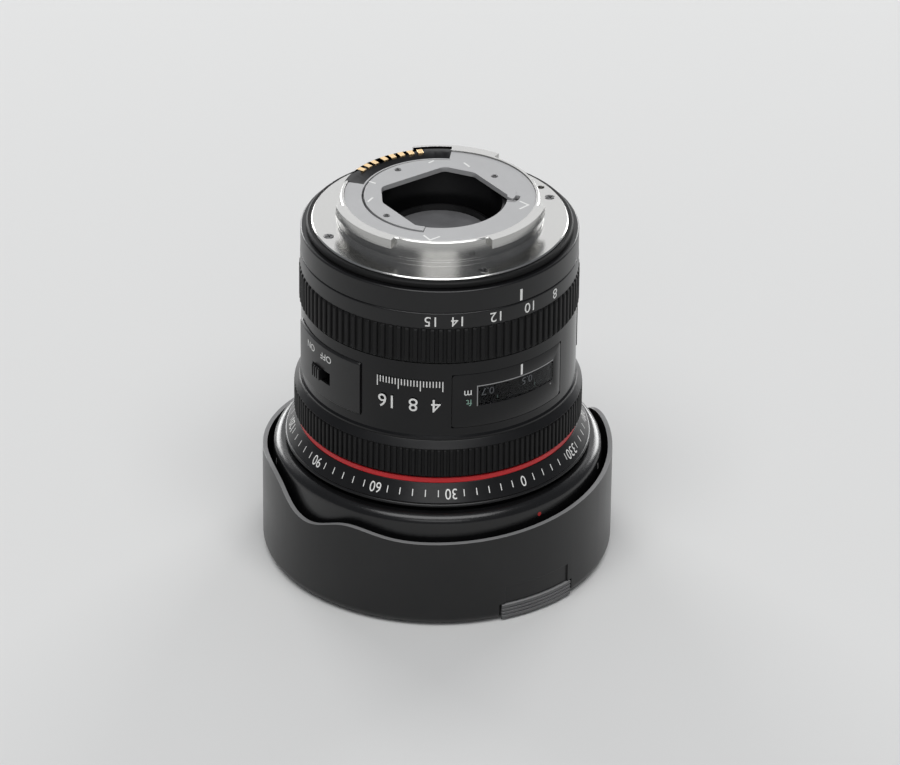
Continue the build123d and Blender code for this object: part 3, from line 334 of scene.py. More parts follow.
@dataclass(frozen=True)
class Finish:
    """One surface finish and the numbers that its shader needs."""

    name: str
    colour: Place
    roughness: float
    metallic: float = 0.0
    specular: float = 0.5
    coat: float = 0.0
    coat_roughness: float = 0.06
    transmission: float = 0.0
    ior: float = 1.5
    grain: Grain = Grain.NONE
    grain_scale: float = 2500.0
    grain_depth: float = 0.01
    grain_strength: float = 0.6
    unevenness: float = 0.02
    least_roughness: float = 0.02
    tint: float = 0.15
    dust: float = 0.0
    dust_colour: Place = (0.22, 0.22, 0.21)
    # Painted highlight: up-facing rims are mixed toward this pale grey, standing in for the reflection of the
    # overhead lamp.
    worn_rim: float = 0.0

    def build(self, groups: SurfaceGroups) -> Material:
        """Makes the material.

        Args:
            groups: the shared node groups.

        Returns:
            The finished material.
        """
        material = bpy.data.materials.new(self.name)
        material.use_nodes = True
        material.diffuse_color = (*self.colour, 1.0)
        tree = material.node_tree
        shader = tree.nodes["Principled BSDF"]
        shift = group_node(tree, groups.cloud).outputs["Shift"]
        rough = math_node(tree, "ADD", math_node(tree, "MULTIPLY", shift, self.unevenness), self.roughness)
        values = {
            "Metallic": self.metallic, "Specular IOR Level": self.specular, "Coat Weight": self.coat,
            "Coat Roughness": self.coat_roughness, "Transmission Weight": self.transmission, "IOR": self.ior,
            "Roughness": math_node(tree, "MAXIMUM", rough, self.least_roughness),
            "Base Color": self.paint(tree, shift, groups),
        }
        if self.grain is not Grain.NONE:
            values["Normal"] = self.relieve(tree, groups)
        for title, value in values.items():
            feed(tree, shader.inputs[title], value)
        return material

    def paint(self, tree: NodeTree, shift: NodeSocket, groups: SurfaceGroups) -> NodeSocket:
        """Mixes the colour, slightly uneven, with the dust and the painted highlight on up-facing rims that
        the finish has.

        Args:
            tree: the material's tree.
            shift: the slow unevenness.
            groups: the shared node groups.

        Returns:
            The socket that gives the colour.
        """
        lighter = tuple(min(1.0, part * (1 + self.tint)) for part in self.colour)
        darker = tuple(part * (1 - self.tint) for part in self.colour)
        amount = math_node(tree, "ADD", math_node(tree, "MULTIPLY", shift, 0.5), 0.5)
        colour = mix_node(tree, amount, (*darker, 1.0), (*lighter, 1.0))
        if self.dust > 0:
            specks = group_node(tree, groups.dust).outputs["Mask"]
            amount = math_node(tree, "MULTIPLY", specks, self.dust)
            colour = mix_node(tree, amount, colour, (*self.dust_colour, 1.0))
        # Painted highlight: faces that look up are lightened, as if they caught the overhead lamp.
        if self.worn_rim > 0:
            rim_highlight_mask = group_node(tree, groups.upward).outputs["Mask"]
            colour = mix_node(tree, rim_highlight_mask, colour, (self.worn_rim, self.worn_rim, self.worn_rim, 1.0))
        return colour

    def relieve(self, tree: NodeTree, groups: SurfaceGroups) -> NodeSocket:
        """Makes the fine relief.

        Args:
            tree: the material's tree.
            groups: the shared node groups.

        Returns:
            The socket that gives the surface's direction.
        """
        relief = group_node(tree, groups.relief[self.grain])
        relief.inputs["Scale"].default_value = self.grain_scale
        bump = tree.nodes.new("ShaderNodeBump")
        bump.inputs["Strength"].default_value = self.grain_strength
        bump.inputs["Distance"].default_value = self.grain_depth * MM
        tree.links.new(relief.outputs["Height"], bump.inputs["Height"])
        return bump.outputs["Normal"]


BLACK_PLASTIC = Finish(
    "black_plastic", (0.0055, 0.0055, 0.0058), 0.33, specular=0.45, grain=Grain.SPECKLED, grain_scale=3000.0,
    grain_depth=0.01, unevenness=0.03, tint=0.3, dust=0.08,
)
FINISHES = {finish.name: finish for finish in (
    Finish(
        "chrome_mount", (0.5, 0.497, 0.485), 0.2, metallic=1.0, grain=Grain.TURNED, grain_scale=6000.0,
        unevenness=0.05, tint=0.08,
    ),
    Finish("steel_screw", (0.2, 0.2, 0.2), 0.3, metallic=1.0, unevenness=0.05),
    Finish(
        "plate_grey", (0.48, 0.48, 0.48), 0.4, metallic=0.3, grain=Grain.SPECKLED, grain_scale=5200.0,
        grain_depth=0.012, tint=0.05,
    ),
    Finish("gold_pad", (0.83, 0.6, 0.33), 0.24, metallic=1.0, unevenness=0.06),
    Finish(
        "black_metal", (0.0052, 0.0052, 0.0056), 0.3, specular=0.4, grain=Grain.SPECKLED, grain_scale=4200.0,
        grain_depth=0.006, unevenness=0.03, tint=0.3, dust=0.06,
    ),
    BLACK_PLASTIC,
    # Cap plastic with a painted highlight on its up-facing rim, standing in for the lamps' reflection along
    # the rim.
    replace(BLACK_PLASTIC, name="cap_plastic", worn_rim=0.22),
    replace(BLACK_PLASTIC, name="hood_plastic", roughness=0.24, specular=0.5, grain_depth=0.006),
    # Painted highlight: the squeeze-tab ridges get a lighter grey colour and a pale up-facing rim, standing
    # in for the light their tops catch.
    Finish(
        "ridge_plastic_painted_highlight", (0.1, 0.1, 0.102), 0.4, grain=Grain.SPECKLED, grain_scale=3000.0, dust=0.1,
        worn_rim=0.3,
    ),
    Finish("gloss_black", (0.004, 0.004, 0.0045), 0.2, specular=0.3, unevenness=0.01, tint=0.3, dust=0.05),
    Finish(
        "rubber_black", (0.0058, 0.0058, 0.006), 0.55, specular=0.22, grain=Grain.SPECKLED,
        grain_scale=3600.0, grain_depth=0.02, unevenness=0.05, tint=0.3, dust=0.12,
    ),
    Finish("seal_rubber", (0.005, 0.005, 0.005), 0.55, specular=0.25, unevenness=0.04),
    Finish("red_paint", (0.6, 0.02, 0.025), 0.3, specular=0.35, tint=0.1),
    Finish("glass", (0.93, 0.97, 0.95), 0.02, transmission=1.0, ior=1.55, unevenness=0.0, tint=0.0),
    Finish("window", (0.6, 0.62, 0.64), 0.03, transmission=1.0, ior=1.2, unevenness=0.0, tint=0.0),
    Finish("brass_part", (0.68, 0.5, 0.25), 0.3, metallic=1.0, unevenness=0.05),
    Finish("alloy", (0.5, 0.5, 0.5), 0.34, metallic=1.0, grain=Grain.TURNED, unevenness=0.04),
    Finish("copper_ring", (0.7, 0.36, 0.2), 0.34, metallic=1.0, unevenness=0.05),
    Finish("board_green", (0.02, 0.12, 0.05), 0.4, unevenness=0.04),
    Finish("blade_steel", (0.09, 0.09, 0.095), 0.4, metallic=0.8, unevenness=0.05),
    Finish("white_mark", (0.78, 0.78, 0.76), 0.5, unevenness=0.03, tint=0.04),
    Finish("grey_mark", (0.3, 0.3, 0.3), 0.5, unevenness=0.03, tint=0.04),
    Finish("green_mark", (0.2, 0.33, 0.27), 0.5, unevenness=0.03, tint=0.04),
    Finish("red_mark", (0.42, 0.02, 0.02), 0.45, unevenness=0.03, tint=0.04),
    Finish("scale_black", (0.003, 0.003, 0.003), 0.7, specular=0.1),
    # Painted reflection: the rear element's glass is an opaque grey, standing in for the lit reflection on
    # the glass; the pale specks are dust.
    Finish(
        "rear_glass_painted_reflection", (0.17, 0.17, 0.175), 0.32, specular=0.6, coat=0.5, grain=Grain.SPECKLED,
        grain_scale=900.0, unevenness=0.06, tint=0.35, dust=0.4,
    ),
)}


def placed(name: str, data: bpy.types.ID) -> Object:
    """Makes an object and puts it in the scene.

    Args:
        name: the object's name.
        data: the mesh, text, lamp or camera that it shows.

    Returns:
        The object.
    """
    item = bpy.data.objects.new(name, data)
    bpy.context.scene.collection.objects.link(item)
    return item


def baked(helper: Object, name: str) -> Mesh:
    """Turns a helper object into a plain mesh and removes the helper.

    Args:
        helper: an object with modifiers, or a word.
        name: the name of the mesh.

    Returns:
        The plain mesh.
    """
    graph = bpy.context.evaluated_depsgraph_get()
    graph.update()
    mesh = bpy.data.meshes.new_from_object(helper.evaluated_get(graph), depsgraph=graph)
    mesh.name = name
    bpy.data.objects.remove(helper)
    return mesh


@dataclass(frozen=True)
class Row:
    """A row of equal pieces round the axis."""

    count: int
    first: float
    step: float


class Workshop:
    """Holds the frame, the finishes and the ways to make a piece."""

    SMOOTH_ANGLE = 32.0
    MERGE_DISTANCE = 0.002
    FLAT_ANGLE = 0.25
    EDGE_ANGLE = 30.0
    EVEN_WEIGHT = 60

    def __init__(self, frame: dict) -> None:
        """Builds every finish and the tree that repeats pieces.

        Args:
            frame: the loaded frame.
        """
        self.frame = frame
        self.nodes = frame["nodes"]
        groups = SurfaceGroups()
        self.finishes = {name: finish.build(groups) for name, finish in FINISHES.items()}
        self.repeater = repeat_tree()

    def dress_frame(self) -> None:
        """Gives every node of the frame the finish of its material slot."""
        for node in self.nodes.values():
            for slot in node.material_slots:
                slot.material = self.finishes[slot.material.name.split(".")[0]]
        # The rear element gets the grey painted reflection instead of glass, and the distance strip its own
        # black.
        for name, finish in (("rear_element", "rear_glass_painted_reflection"), ("distance_scale", "scale_black")):
            for slot in self.nodes[name].material_slots:
                slot.material = self.finishes[finish]

    def add(
        self, name: str, mesh: Mesh, finish: str, body: str, replaces: Sequence[str] = (),
        shaded: bool = False,
    ) -> None:
        """Puts a finished mesh in the scene as a piece of the lens.

        Args:
            name: the piece's name.
            mesh: its mesh, in place.
            finish: the name of its finish.
            body: the body that it rides on.
            replaces: nodes of the frame that it stands for.
            shaded: whether the mesh keeps the shading that it brings.
        """
        piece = placed(name, mesh)
        mesh.materials.clear()
        mesh.materials.append(self.finishes[finish])
        if not shaded:
            mesh.shade_smooth()
            mesh.set_sharp_from_angle(angle=math.radians(self.SMOOTH_ANGLE))
        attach(piece, body)
        if replaces:
            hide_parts(*replaces)
        LOG.info("%s rides on %s", name, body)

    def add_all(
        self, name: str, parts: Sequence[Mesh], finish: str, body: str = "root", replaces: Sequence[str] = ()
    ) -> None:
        """Joins meshes and puts them in the scene as one piece, in the way of add."""
        self.add(name, joined(name, parts), finish, body, replaces)

    def soften(self, node: str, finish: str, body: str, width: float, segments: int = 2) -> None:
        """Replaces a node of the frame by a copy with softened edges.

        Args:
            node: the node's name.
            finish: the finish of the copy.
            body: the body that it rides on.
            width: width of the softened edge.
            segments: faces across each edge.
        """
        mesh = self.nodes[node].data.copy()
        mesh.name = node + "_dressed"
        if "custom_normal" in mesh.attributes:
            mesh.attributes.remove(mesh.attributes["custom_normal"])
        shape = bmesh.new()
        shape.from_mesh(mesh)
        bmesh.ops.remove_doubles(shape, verts=shape.verts, dist=self.MERGE_DISTANCE * MM)
        flat = math.radians(self.FLAT_ANGLE)
        bmesh.ops.dissolve_limit(shape, angle_limit=flat, verts=shape.verts, edges=shape.edges)
        shape.to_mesh(mesh)
        shape.free()
        helper = placed("helper", mesh)
        mesh.shade_smooth()
        edge = helper.modifiers.new("edge", "BEVEL")
        edge.width = width * MM
        edge.segments = segments
        edge.limit_method = "ANGLE"
        edge.angle_limit = math.radians(self.EDGE_ANGLE)
        helper.modifiers.new("even", "WEIGHTED_NORMAL").weight = self.EVEN_WEIGHT
        self.add(node + "_piece", baked(helper, node + "_soft"), finish, body, [node], shaded=True)

    def repeated(self, name: str, prototype: Mesh, row: Row, finish: str) -> Mesh:
        """Sets copies of a small mesh round the axis with Geometry Nodes.

        Args:
            name: the name of the result.
            prototype: the mesh to repeat, made at the lens's top side at its real distance and height.
            row: how many copies, the first angle and the step.
            finish: the finish of the copies.

        Returns:
            One plain mesh with all copies.
        """
        single = placed(name + "_one", prototype)
        carrier = placed(name + "_row", bpy.data.meshes.new(name + "_row"))
        nodes = carrier.modifiers.new("repeat", "NODES")
        nodes.node_group = self.repeater
        values = {
            "Piece": single, "Count": row.count, "First": math.radians(row.first),
            "Step": math.radians(row.step), "Finish": self.finishes[finish],
        }
        for item in self.repeater.interface.items_tree:
            if item.in_out == "INPUT":
                nodes[item.identifier] = values[item.name]
        copies = baked(carrier, name + "_row")
        bpy.data.objects.remove(single)
        return joined(name, [copies])


def repeat_tree() -> NodeTree:
    """Builds the Geometry Nodes tree that repeats a piece round the optical axis.

    Returns:
        The tree, with named inputs for the piece, the count, the first angle, the step and the finish.
    """
    tree = bpy.data.node_groups.new("repeat_round_axis", "GeometryNodeTree")
    sockets = (
        ("Piece", "Object"), ("Count", "Int"), ("First", "Float"), ("Step", "Float"), ("Finish", "Material"),
    )
    for title, kind in sockets:
        tree.interface.new_socket(title, in_out="INPUT", socket_type="NodeSocket" + kind)
    tree.interface.new_socket("Geometry", in_out="OUTPUT", socket_type="NodeSocketGeometry")
    source = tree.nodes.new("NodeGroupInput").outputs
    sink = tree.nodes.new("NodeGroupOutput")
    points = tree.nodes.new("GeometryNodePoints")
    info = tree.nodes.new("GeometryNodeObjectInfo")
    place = tree.nodes.new("GeometryNodeInstanceOnPoints")
    index = tree.nodes.new("GeometryNodeInputIndex")
    stepped = math_node(tree, "MULTIPLY", index.outputs[0], source["Step"])
    turn = math_node(tree, "ADD", stepped, source["First"])
    vector = tree.nodes.new("ShaderNodeCombineXYZ")
    rotation = tree.nodes.new("FunctionNodeEulerToRotation")
    realize = tree.nodes.new("GeometryNodeRealizeInstances")
    finish = tree.nodes.new("GeometryNodeSetMaterial")
    links = (
        (source["Count"], points.inputs["Count"]), (source["Piece"], info.inputs["Object"]),
        (points.outputs[0], place.inputs["Points"]), (info.outputs["Geometry"], place.inputs["Instance"]),
        (turn, vector.inputs["Z"]), (vector.outputs[0], rotation.inputs[0]),
        (rotation.outputs[0], place.inputs["Rotation"]), (place.outputs[0], realize.inputs[0]),
        (realize.outputs[0], finish.inputs["Geometry"]), (source["Finish"], finish.inputs["Material"]),
        (finish.outputs[0], sink.inputs[0]),
    )
    for start, end in links:
        tree.links.new(start, end)
    return tree


# Meshes


def taken(shape: bmesh.types.BMesh, name: str) -> Mesh:
    """Turns a shape into a mesh and frees the shape.

    Args:
        shape: the shape.
        name: the name of the mesh.

    Returns:
        The mesh.
    """
    mesh = bpy.data.meshes.new(name)
    shape.to_mesh(mesh)
    shape.free()
    return mesh


def joined(name: str, meshes: Sequence[Mesh]) -> Mesh:
    """Joins meshes into one.

    Args:
        name: the name of the result.
        meshes: the meshes, in place.

    Returns:
        One mesh.
    """
    shape = bmesh.new()
    for mesh in meshes:
        shape.from_mesh(mesh)
    return taken(shape, name)


def skin(
    shape: bmesh.types.BMesh, lower: Sequence[bmesh.types.BMVert], upper: Sequence[bmesh.types.BMVert],
) -> None:
    """Puts faces between two closed rows of vertices.

    Args:
        shape: the shape that holds the vertices.
        lower: the first row.
        upper: the second row, with as many vertices.
    """
    for index, corner in enumerate(lower):
        follow = (index + 1) % len(lower)
        shape.faces.new((corner, lower[follow], upper[follow], upper[index]))


def solid(name: str, rows: Sequence[Sequence[Vector]], ring: bool = False) -> Mesh:
    """Skins closed rows of points.

    Args:
        name: the name of the mesh.
        rows: closed rows, each with the same number of points.
        ring: whether the last row joins the first; both ends are closed otherwise.

    Returns:
        A closed solid with its faces outwards.
    """
    shape = bmesh.new()
    loops = [[shape.verts.new(point) for point in row] for row in rows]
    for lower, upper in zip(loops, loops[1:]):
        skin(shape, lower, upper)
    if ring:
        skin(shape, loops[-1], loops[0])
    else:
        shape.faces.new(loops[0])
        shape.faces.new(loops[-1])
    bmesh.ops.recalc_face_normals(shape, faces=shape.faces)
    return taken(shape, name)


def lathe(name: str, outline: Sequence[Point], segments: int = 256) -> Mesh:
    """Turns a closed outline about the optical axis.

    Args:
        name: the name of the mesh.
        outline: radius and height of each point, in order.
        segments: stretches round the axis.

    Returns:
        A closed ring with its faces outwards.
    """
    angles = [FULL_TURN * segment / segments for segment in range(segments)]
    return solid(name, [[around(angle, *point) for point in outline] for angle in angles], ring=True)


def rounded_outline(corners: Sequence[Place], steps: int = 4, support_share: float = 0.15) -> list[Point]:
    """Rounds the corners of a closed outline.

    Args:
        corners: radius, height and rounding of each corner.
        steps: straight pieces in each rounding.
        support_share: how far a support point stands from its rounding, as a share of the rounding.

    Returns:
        The points of the outline, with a support point on each side of a rounding.
    """
    points: list[Point] = []
    count = len(corners)
    for index, (radius, height, rounding) in enumerate(corners):
        here = Vector((radius, height))
        if rounding <= 0:
            points.append((radius, height))
            continue
        before = (Vector(corners[index - 1][:2]) - here).normalized()
        after = (Vector(corners[(index + 1) % count][:2]) - here).normalized()
        half = before.angle(after) / 2
        setback = rounding / math.tan(half)
        centre = here + (before + after).normalized() * (rounding / math.sin(half))
        first = here + before * setback
        last = here + after * setback
        points.append(tuple(first + before * rounding * support_share))
        start = math.atan2(first.y - centre.y, first.x - centre.x)
        sweep = math.atan2(last.y - centre.y, last.x - centre.x) - start
        sweep = (sweep + math.pi) % (2 * math.pi) - math.pi
        for step in range(steps + 1):
            turn = start + sweep * step / steps
            points.append((centre.x + rounding * math.cos(turn), centre.y + rounding * math.sin(turn)))
        points.append(tuple(last + after * rounding * support_share))
    return points


@dataclass(frozen=True)
class BentPanel:
    """A plate bent round the optical axis, such as a window frame or a pane."""

    first: float
    last: float
    low: float
    high: float
    corner: float
    least_corner: float = 0.05
    steps: int = 18
    corner_steps: int = 4

    def loop(self, radius: float, inset: float) -> list[Vector]:
        """Gives the outline at a distance from the axis.

        Args:
            radius: the distance from the axis.
            inset: how far the outline is drawn in; below zero it grows.

        Returns:
            The points of the outline, in order.
        """
        half = math.radians(self.last - self.first) / 2 * radius - inset
        tall = (self.high - self.low) / 2 - inset
        corner = max(self.corner - inset, self.least_corner)
        points: list[Point] = []
        quarter = FULL_TURN / 4
        for across, up, start in ((1, -1, -quarter), (1, 1, 0.0), (-1, 1, quarter), (-1, -1, 2 * quarter)):
            for step in range(self.corner_steps + 1):
                turn = math.radians(start + quarter * step / self.corner_steps)
                x = across * (half - corner) + corner * math.cos(turn)
                points.append((x, up * (tall - corner) + corner * math.sin(turn)))
            if across == up:
                end = half - corner
                points += [
                    (across * end * (1 - 2 * step / self.steps), up * tall) for step in range(1, self.steps)
                ]
        middle, centre = (self.first + self.last) / 2, (self.low + self.high) / 2
        return [around(middle + math.degrees(x / radius), radius, centre + y) for x, y in points]

    def block(self, name: str, inner: float, outer: float) -> Mesh:
        """Makes a plain bent block without rounded corners.

        Args:
            name: the name of the mesh.
            inner: distance of its inner side from the axis.
            outer: distance of its outer side from the axis.

        Returns:
            The block.
        """
        section = ((inner, self.low), (outer, self.low), (outer, self.high), (inner, self.high))
        angles = [self.first + (self.last - self.first) * step / self.steps for step in range(self.steps + 1)]
        return solid(name, [[around(angle, *point) for point in section] for angle in angles])


@dataclass
class Rib:
    """One rubber rib with a rounded crown and sloped ends, at the lens's top side."""

    foot: float
    crown: float
    low: float
    high: float
    width: float
    slope: float
    part_slope_share: float = 0.35
    part_rise_share: float = 0.6
    least_rise_share: float = 0.04
    foot_width_share: float = 0.8
    side_share: float = 0.86
    side_drop_share: float = 0.3
    top_share: float = 0.62
    dome_share: float = 0.04

    def mesh(self) -> Mesh:
        """Skins the rib from a few cross sections along the axis.

        Returns:
            The mesh of the rib.
        """
        part_slope = self.slope * self.part_slope_share
        levels = (
            (self.low, 0.0), (self.low + part_slope, self.part_rise_share), (self.low + self.slope, 1.0),
            (self.high - self.slope, 1.0), (self.high - part_slope, self.part_rise_share), (self.high, 0.0),
        )
        rows = []
        for height, share in levels:
            top = self.foot + (self.crown - self.foot) * max(share, self.least_rise_share)
            lean = self.width / 2 * (self.foot_width_share + (1 - self.foot_width_share) * share)
            side = top - (top - self.foot) * self.side_drop_share
            left = (
                (-lean, self.foot - SINK * 2), (-lean, self.foot), (-lean * self.side_share, side),
                (-lean * self.top_share, top),
            )
            right = [(-across, distance) for across, distance in reversed(left)]
            section = (*left, (0.0, top + (top - self.foot) * self.dome_share), *right)
            rows.append([Vector((across, -distance, height)) * MM for across, distance in section])
        return solid("rib", rows)


@dataclass
class Lettering:
    """Plain figures and marks laid on a round surface, read with the mount down."""

    radius: Callable[[float], float]
    size: float = 2.4
    bar_step: float = 0.6
    curve_steps: int = 4
    dot_sides: int = 20

    @classmethod
    def on(cls, node: str, size: float = 2.4) -> Lettering:
        """Makes the lettering for the round side of a node."""
        radius = reach(node)
        return cls(lambda height: radius, size)

    def glyphs(self, text: str, angle: float, height: float, size: float | None = None) -> Mesh:
        """Bends a word round the surface.

        Args:
            text: the figures.
            angle: side angle of their middle.
            height: height of their middle.
            size: height of the type, or None for the usual one.

        Returns:
            The mesh of the word, in place.
        """
        curve = bpy.data.curves.new("word", "FONT")
        curve.body = text
        curve.size = size or self.size
        curve.align_x = "CENTER"
        curve.align_y = "CENTER"
        curve.extrude = MARK_HALF
        curve.resolution_u = self.curve_steps
        return self.bent(baked(placed("word", curve), "word"), angle, height)

    def bent(self, mesh: Mesh, angle: float, height: float) -> Mesh:
        """Lays a flat mesh on the surface.

        Args:
            mesh: a mesh whose X runs along the words, Y up them and Z out.
            angle: side angle of its middle.
            height: height of its middle.

        Returns:
            The same mesh, in place.
        """
        for vertex in mesh.vertices:
            across, up, out = vertex.co
            level = height - up
            lift = out + MARK_LIFT - MARK_HALF
            turn = angle - math.degrees(across / self.radius(height))
            vertex.co = around(turn, self.radius(level) + lift, level)
        return mesh

    def bar(self, angle: float, height: float, width: float, length: float) -> Mesh:
        """Lays a rectangular mark on the surface.

        Args:
            angle: side angle of its middle.
            height: height of its middle.
            width: its width round the lens.
            length: its length along the axis.

        Returns:
            The mesh of the mark.
        """
        steps = max(1, int(width / self.bar_step))
        half = length / 2
        section = ((-half, -MARK_HALF), (half, -MARK_HALF), (half, MARK_HALF), (-half, MARK_HALF))
        places = [width * (step / steps - 0.5) for step in range(steps + 1)]
        rows = [[Vector((across, up, out)) for up, out in section] for across in places]
        return self.bent(solid("bar", rows), angle, height)

    def dot(self, angle: float, height: float, radius: float) -> Mesh:
        """Lays a round dot on the surface.

        Args:
            angle: side angle of its middle.
            height: height of its middle.
            radius: its radius.

        Returns:
            The mesh of the dot.
        """
        turns = [2 * math.pi * step / self.dot_sides for step in range(self.dot_sides)]
        rows = [
            [Vector((radius * math.cos(turn), radius * math.sin(turn), out)) for turn in turns]
            for out in (-MARK_HALF, MARK_HALF)
        ]
        return self.bent(solid("dot", rows), angle, height)


def flat_stroke(points: Sequence[Point], width: float, low: float, high: float) -> Mesh:
    """Makes a bent flat line of even width, lying square to the axis.

    Args:
        points: corners of the line, X and Y.
        width: its width.
        low: its lower height.
        high: its upper height.

    Returns:
        The mesh of the line.
    """
    sharpest = 0.3
    rows = []
    for index, (x, y) in enumerate(points):
        here = Vector((x, y))
        before = (here - Vector(points[index - 1])).normalized() if index else None
        after = (Vector(points[index + 1]) - here).normalized() if index < len(points) - 1 else None
        along = (before or after) + (after or before)
        along.normalize()
        across = Vector((-along.y, along.x))
        straight = before or after
        half = width / 2 / max(sharpest, abs(across.dot(Vector((-straight.y, straight.x)))))
        left, right = here + across * half, here - across * half
        corners = ((left, low), (right, low), (right, high), (left, high))
        rows.append([Vector((place.x, place.y, height)) * MM for place, height in corners])
    return solid("stroke", rows)


@dataclass
class CrossScrew:
    """A small pan-head screw with a cross recess, made at the lens's top side."""

    distance: float
    height: float
    radius: float
    rise: float = 0.12
    depth: float = 0.35
    cross_width: float = 0.32
    cross_reach: float = 0.68
    floor_share: float = 0.72
    shoulder_share: float = 0.94
    shoulder_rise_share: float = 0.7
    top_share: float = 0.82
    sides: int = 32

    def mesh(self) -> Mesh:
        """Builds the head: a domed rim, a flat top and the sunk cross.

        Returns:
            The mesh of the head.
        """
        shape = bmesh.new()
        shoulder = (self.shoulder_share, self.rise * self.shoulder_rise_share)
        levels = ((1.0, -self.depth - SINK), (1.0, 0.0), shoulder, (self.top_share, self.rise))
        turns = [2 * math.pi * step / self.sides for step in range(self.sides)]
        rings = []
        for share, lift in levels:
            edge = self.radius * share
            circle = [(edge * math.cos(turn), edge * math.sin(turn)) for turn in turns]
            rings.append(self.row(shape, circle, lift))
        for lower, upper in zip(rings, rings[1:]):
            skin(shape, lower, upper)
        shape.faces.new(list(reversed(rings[0])))
        cross = self.row(shape, self.cross(1.0), self.rise)
        floor = self.row(shape, self.cross(self.floor_share), self.rise - self.depth)
        skin(shape, cross, floor)
        shape.faces.new(floor)
        edges = []
        for row in (cross, rings[-1]):
            edges += [shape.edges.get((row[index], row[(index + 1) % len(row)])) for index in range(len(row))]
        bmesh.ops.triangle_fill(shape, use_beauty=True, edges=edges)
        bmesh.ops.recalc_face_normals(shape, faces=shape.faces)
        return taken(shape, "screw")

    def row(self, shape: bmesh.types.BMesh, points: Sequence[Point], lift: float) -> list[bmesh.types.BMVert]:
        """Puts a row of vertices in the head.

        Args:
            shape: the shape of the head.
            points: where they stand about the screw's axis.
            lift: how far they stand above its seat.

        Returns:
            The vertices.
        """
        return [
            shape.verts.new(Vector((across, along - self.distance, self.height + lift)) * MM)
            for across, along in points
        ]

    def cross(self, share: float) -> list[Point]:
        """Gives the corners of the cross.

        Args:
            share: the size of the cross as a share of its full size.

        Returns:
            The corners, in order, about the screw's axis.
        """
        half = self.cross_width / 2 * self.radius * share
        end = self.cross_reach * self.radius * share
        quarter = ((half, half), (half, end), (-half, end))
        points: list[Point] = []
        for turn in range(4):
            sine, cosine = math.sin(math.pi / 2 * turn), math.cos(math.pi / 2 * turn)
            points += [(x * cosine - y * sine, x * sine + y * cosine) for x, y in quarter]
        return points


# Sub-assemblies


@dataclass
class Assembly:
    """A sub-assembly of the lens.

    In its sizes a word is a text, a side angle and a height, a place is a side angle and a height,
    and a mark or tick is a width and a length.
    """

    shop: Workshop

    def print_words(
        self, name: str, node: str, size: float, words: Sequence[Word], finish: str = "white_mark",
        body: str = "root",
    ) -> None:
        """Prints words on the round side of a node, as one piece on a body."""
        lettering = Lettering.on(node, size)
        self.shop.add_all(name, [lettering.glyphs(*word) for word in words], finish, body)


@dataclass
class Mount(Assembly):
    """The bayonet mount with its contacts, plate and filter holder.

    Its corner and side marks are painted lines through points, given as X and Y.
    """

    flange_screws: Row = Row(count=4, first=-14.0, step=FULL_TURN / 4)
    flange_screw_radius: float = 1.22
    flange_screw_inset: float = 2.6
    plate_screws: Row = Row(count=3, first=92.0, step=91.0)
    plate_screw_radius: float = 0.82
    plate_screw_distance: float = 17.3
    plate_screw_rise: float = 0.1
    plate_screw_depth: float = 0.25
    mark_width: float = 0.5
    corner_marks: tuple[tuple[Point, ...], ...] = (
        ((-15.4, -14.7), (-15.5, -17.6), (-12.4, -17.5)),
        ((14.9, -13.7), (15.5, -16.5), (12.4, -17.0)),
    )
    side_marks: tuple[tuple[Point, ...], ...] = (
        ((-17.0, 7.4), (-14.7, 8.5)),
        ((-10.6, 16.2), (-9.8, 14.3)),
        ((7.6, 15.8), (9.4, 16.1)),
        ((15.1, 10.9), (15.0, 8.3)),
    )

    def build(self) -> None:
        """Makes every piece of the mount."""
        shop = self.shop
        shop.soften("mount_ring", "chrome_mount", "root", width=0.14, segments=3)
        shop.soften("rear_gasket", "seal_rubber", "root", width=0.1)
        shop.soften("contact_block", "black_plastic", "root", width=0.08)
        shop.soften("contact_pads", "gold_pad", "root", width=0.07)
        shop.soften("filter_plate", "plate_grey", "root", width=0.06)
        shop.soften("filter_holder", "plate_grey", "root", width=0.07)
        distance = reach("mount_ring") - self.flange_screw_inset
        head = CrossScrew(distance, span("mount_screws")[1], self.flange_screw_radius)
        self.screws("mount_screw_heads", head, self.flange_screws, "mount_screws")
        head = CrossScrew(
            self.plate_screw_distance, span("plate_screws")[1], self.plate_screw_radius,
            self.plate_screw_rise, self.plate_screw_depth,
        )
        self.screws("plate_screw_heads", head, self.plate_screws, "plate_screws")
        self.marks()

    def screws(self, name: str, head: CrossScrew, row: Row, node: str) -> None:
        """Sets a row of screw heads in the place of a node."""
        mesh = self.shop.repeated(name, head.mesh(), row, "steel_screw")
        self.shop.add(name, mesh, "steel_screw", "root", [node])

    def marks(self) -> None:
        """Paints the corner marks that show where a filter sheet goes."""
        strokes = []
        for node, lines in (("filter_plate", self.corner_marks), ("filter_holder", self.side_marks)):
            top = span(node)[1]
            strokes += [flat_stroke(line, self.mark_width, top - SINK, top + MARK_LIFT) for line in lines]
        self.shop.add_all("plate_marks", strokes, "white_mark")


@dataclass
class RearBarrel(Assembly):
    """The fixed barrel behind the zoom ring, with the zoom index mark."""

    mark_gap: float = 0.3
    mark: Point = (0.7, 3.2)

    def build(self) -> None:
        """Makes the barrel and its mark."""
        self.shop.soften("rear_barrel", "black_metal", "root", width=0.16, segments=3)
        middle = span("rear_barrel")[0] + self.mark[1] / 2 + self.mark_gap
        mark = Lettering.on("rear_barrel").bar(0.0, middle, *self.mark)
        self.shop.add("zoom_index", mark, "white_mark", "root")


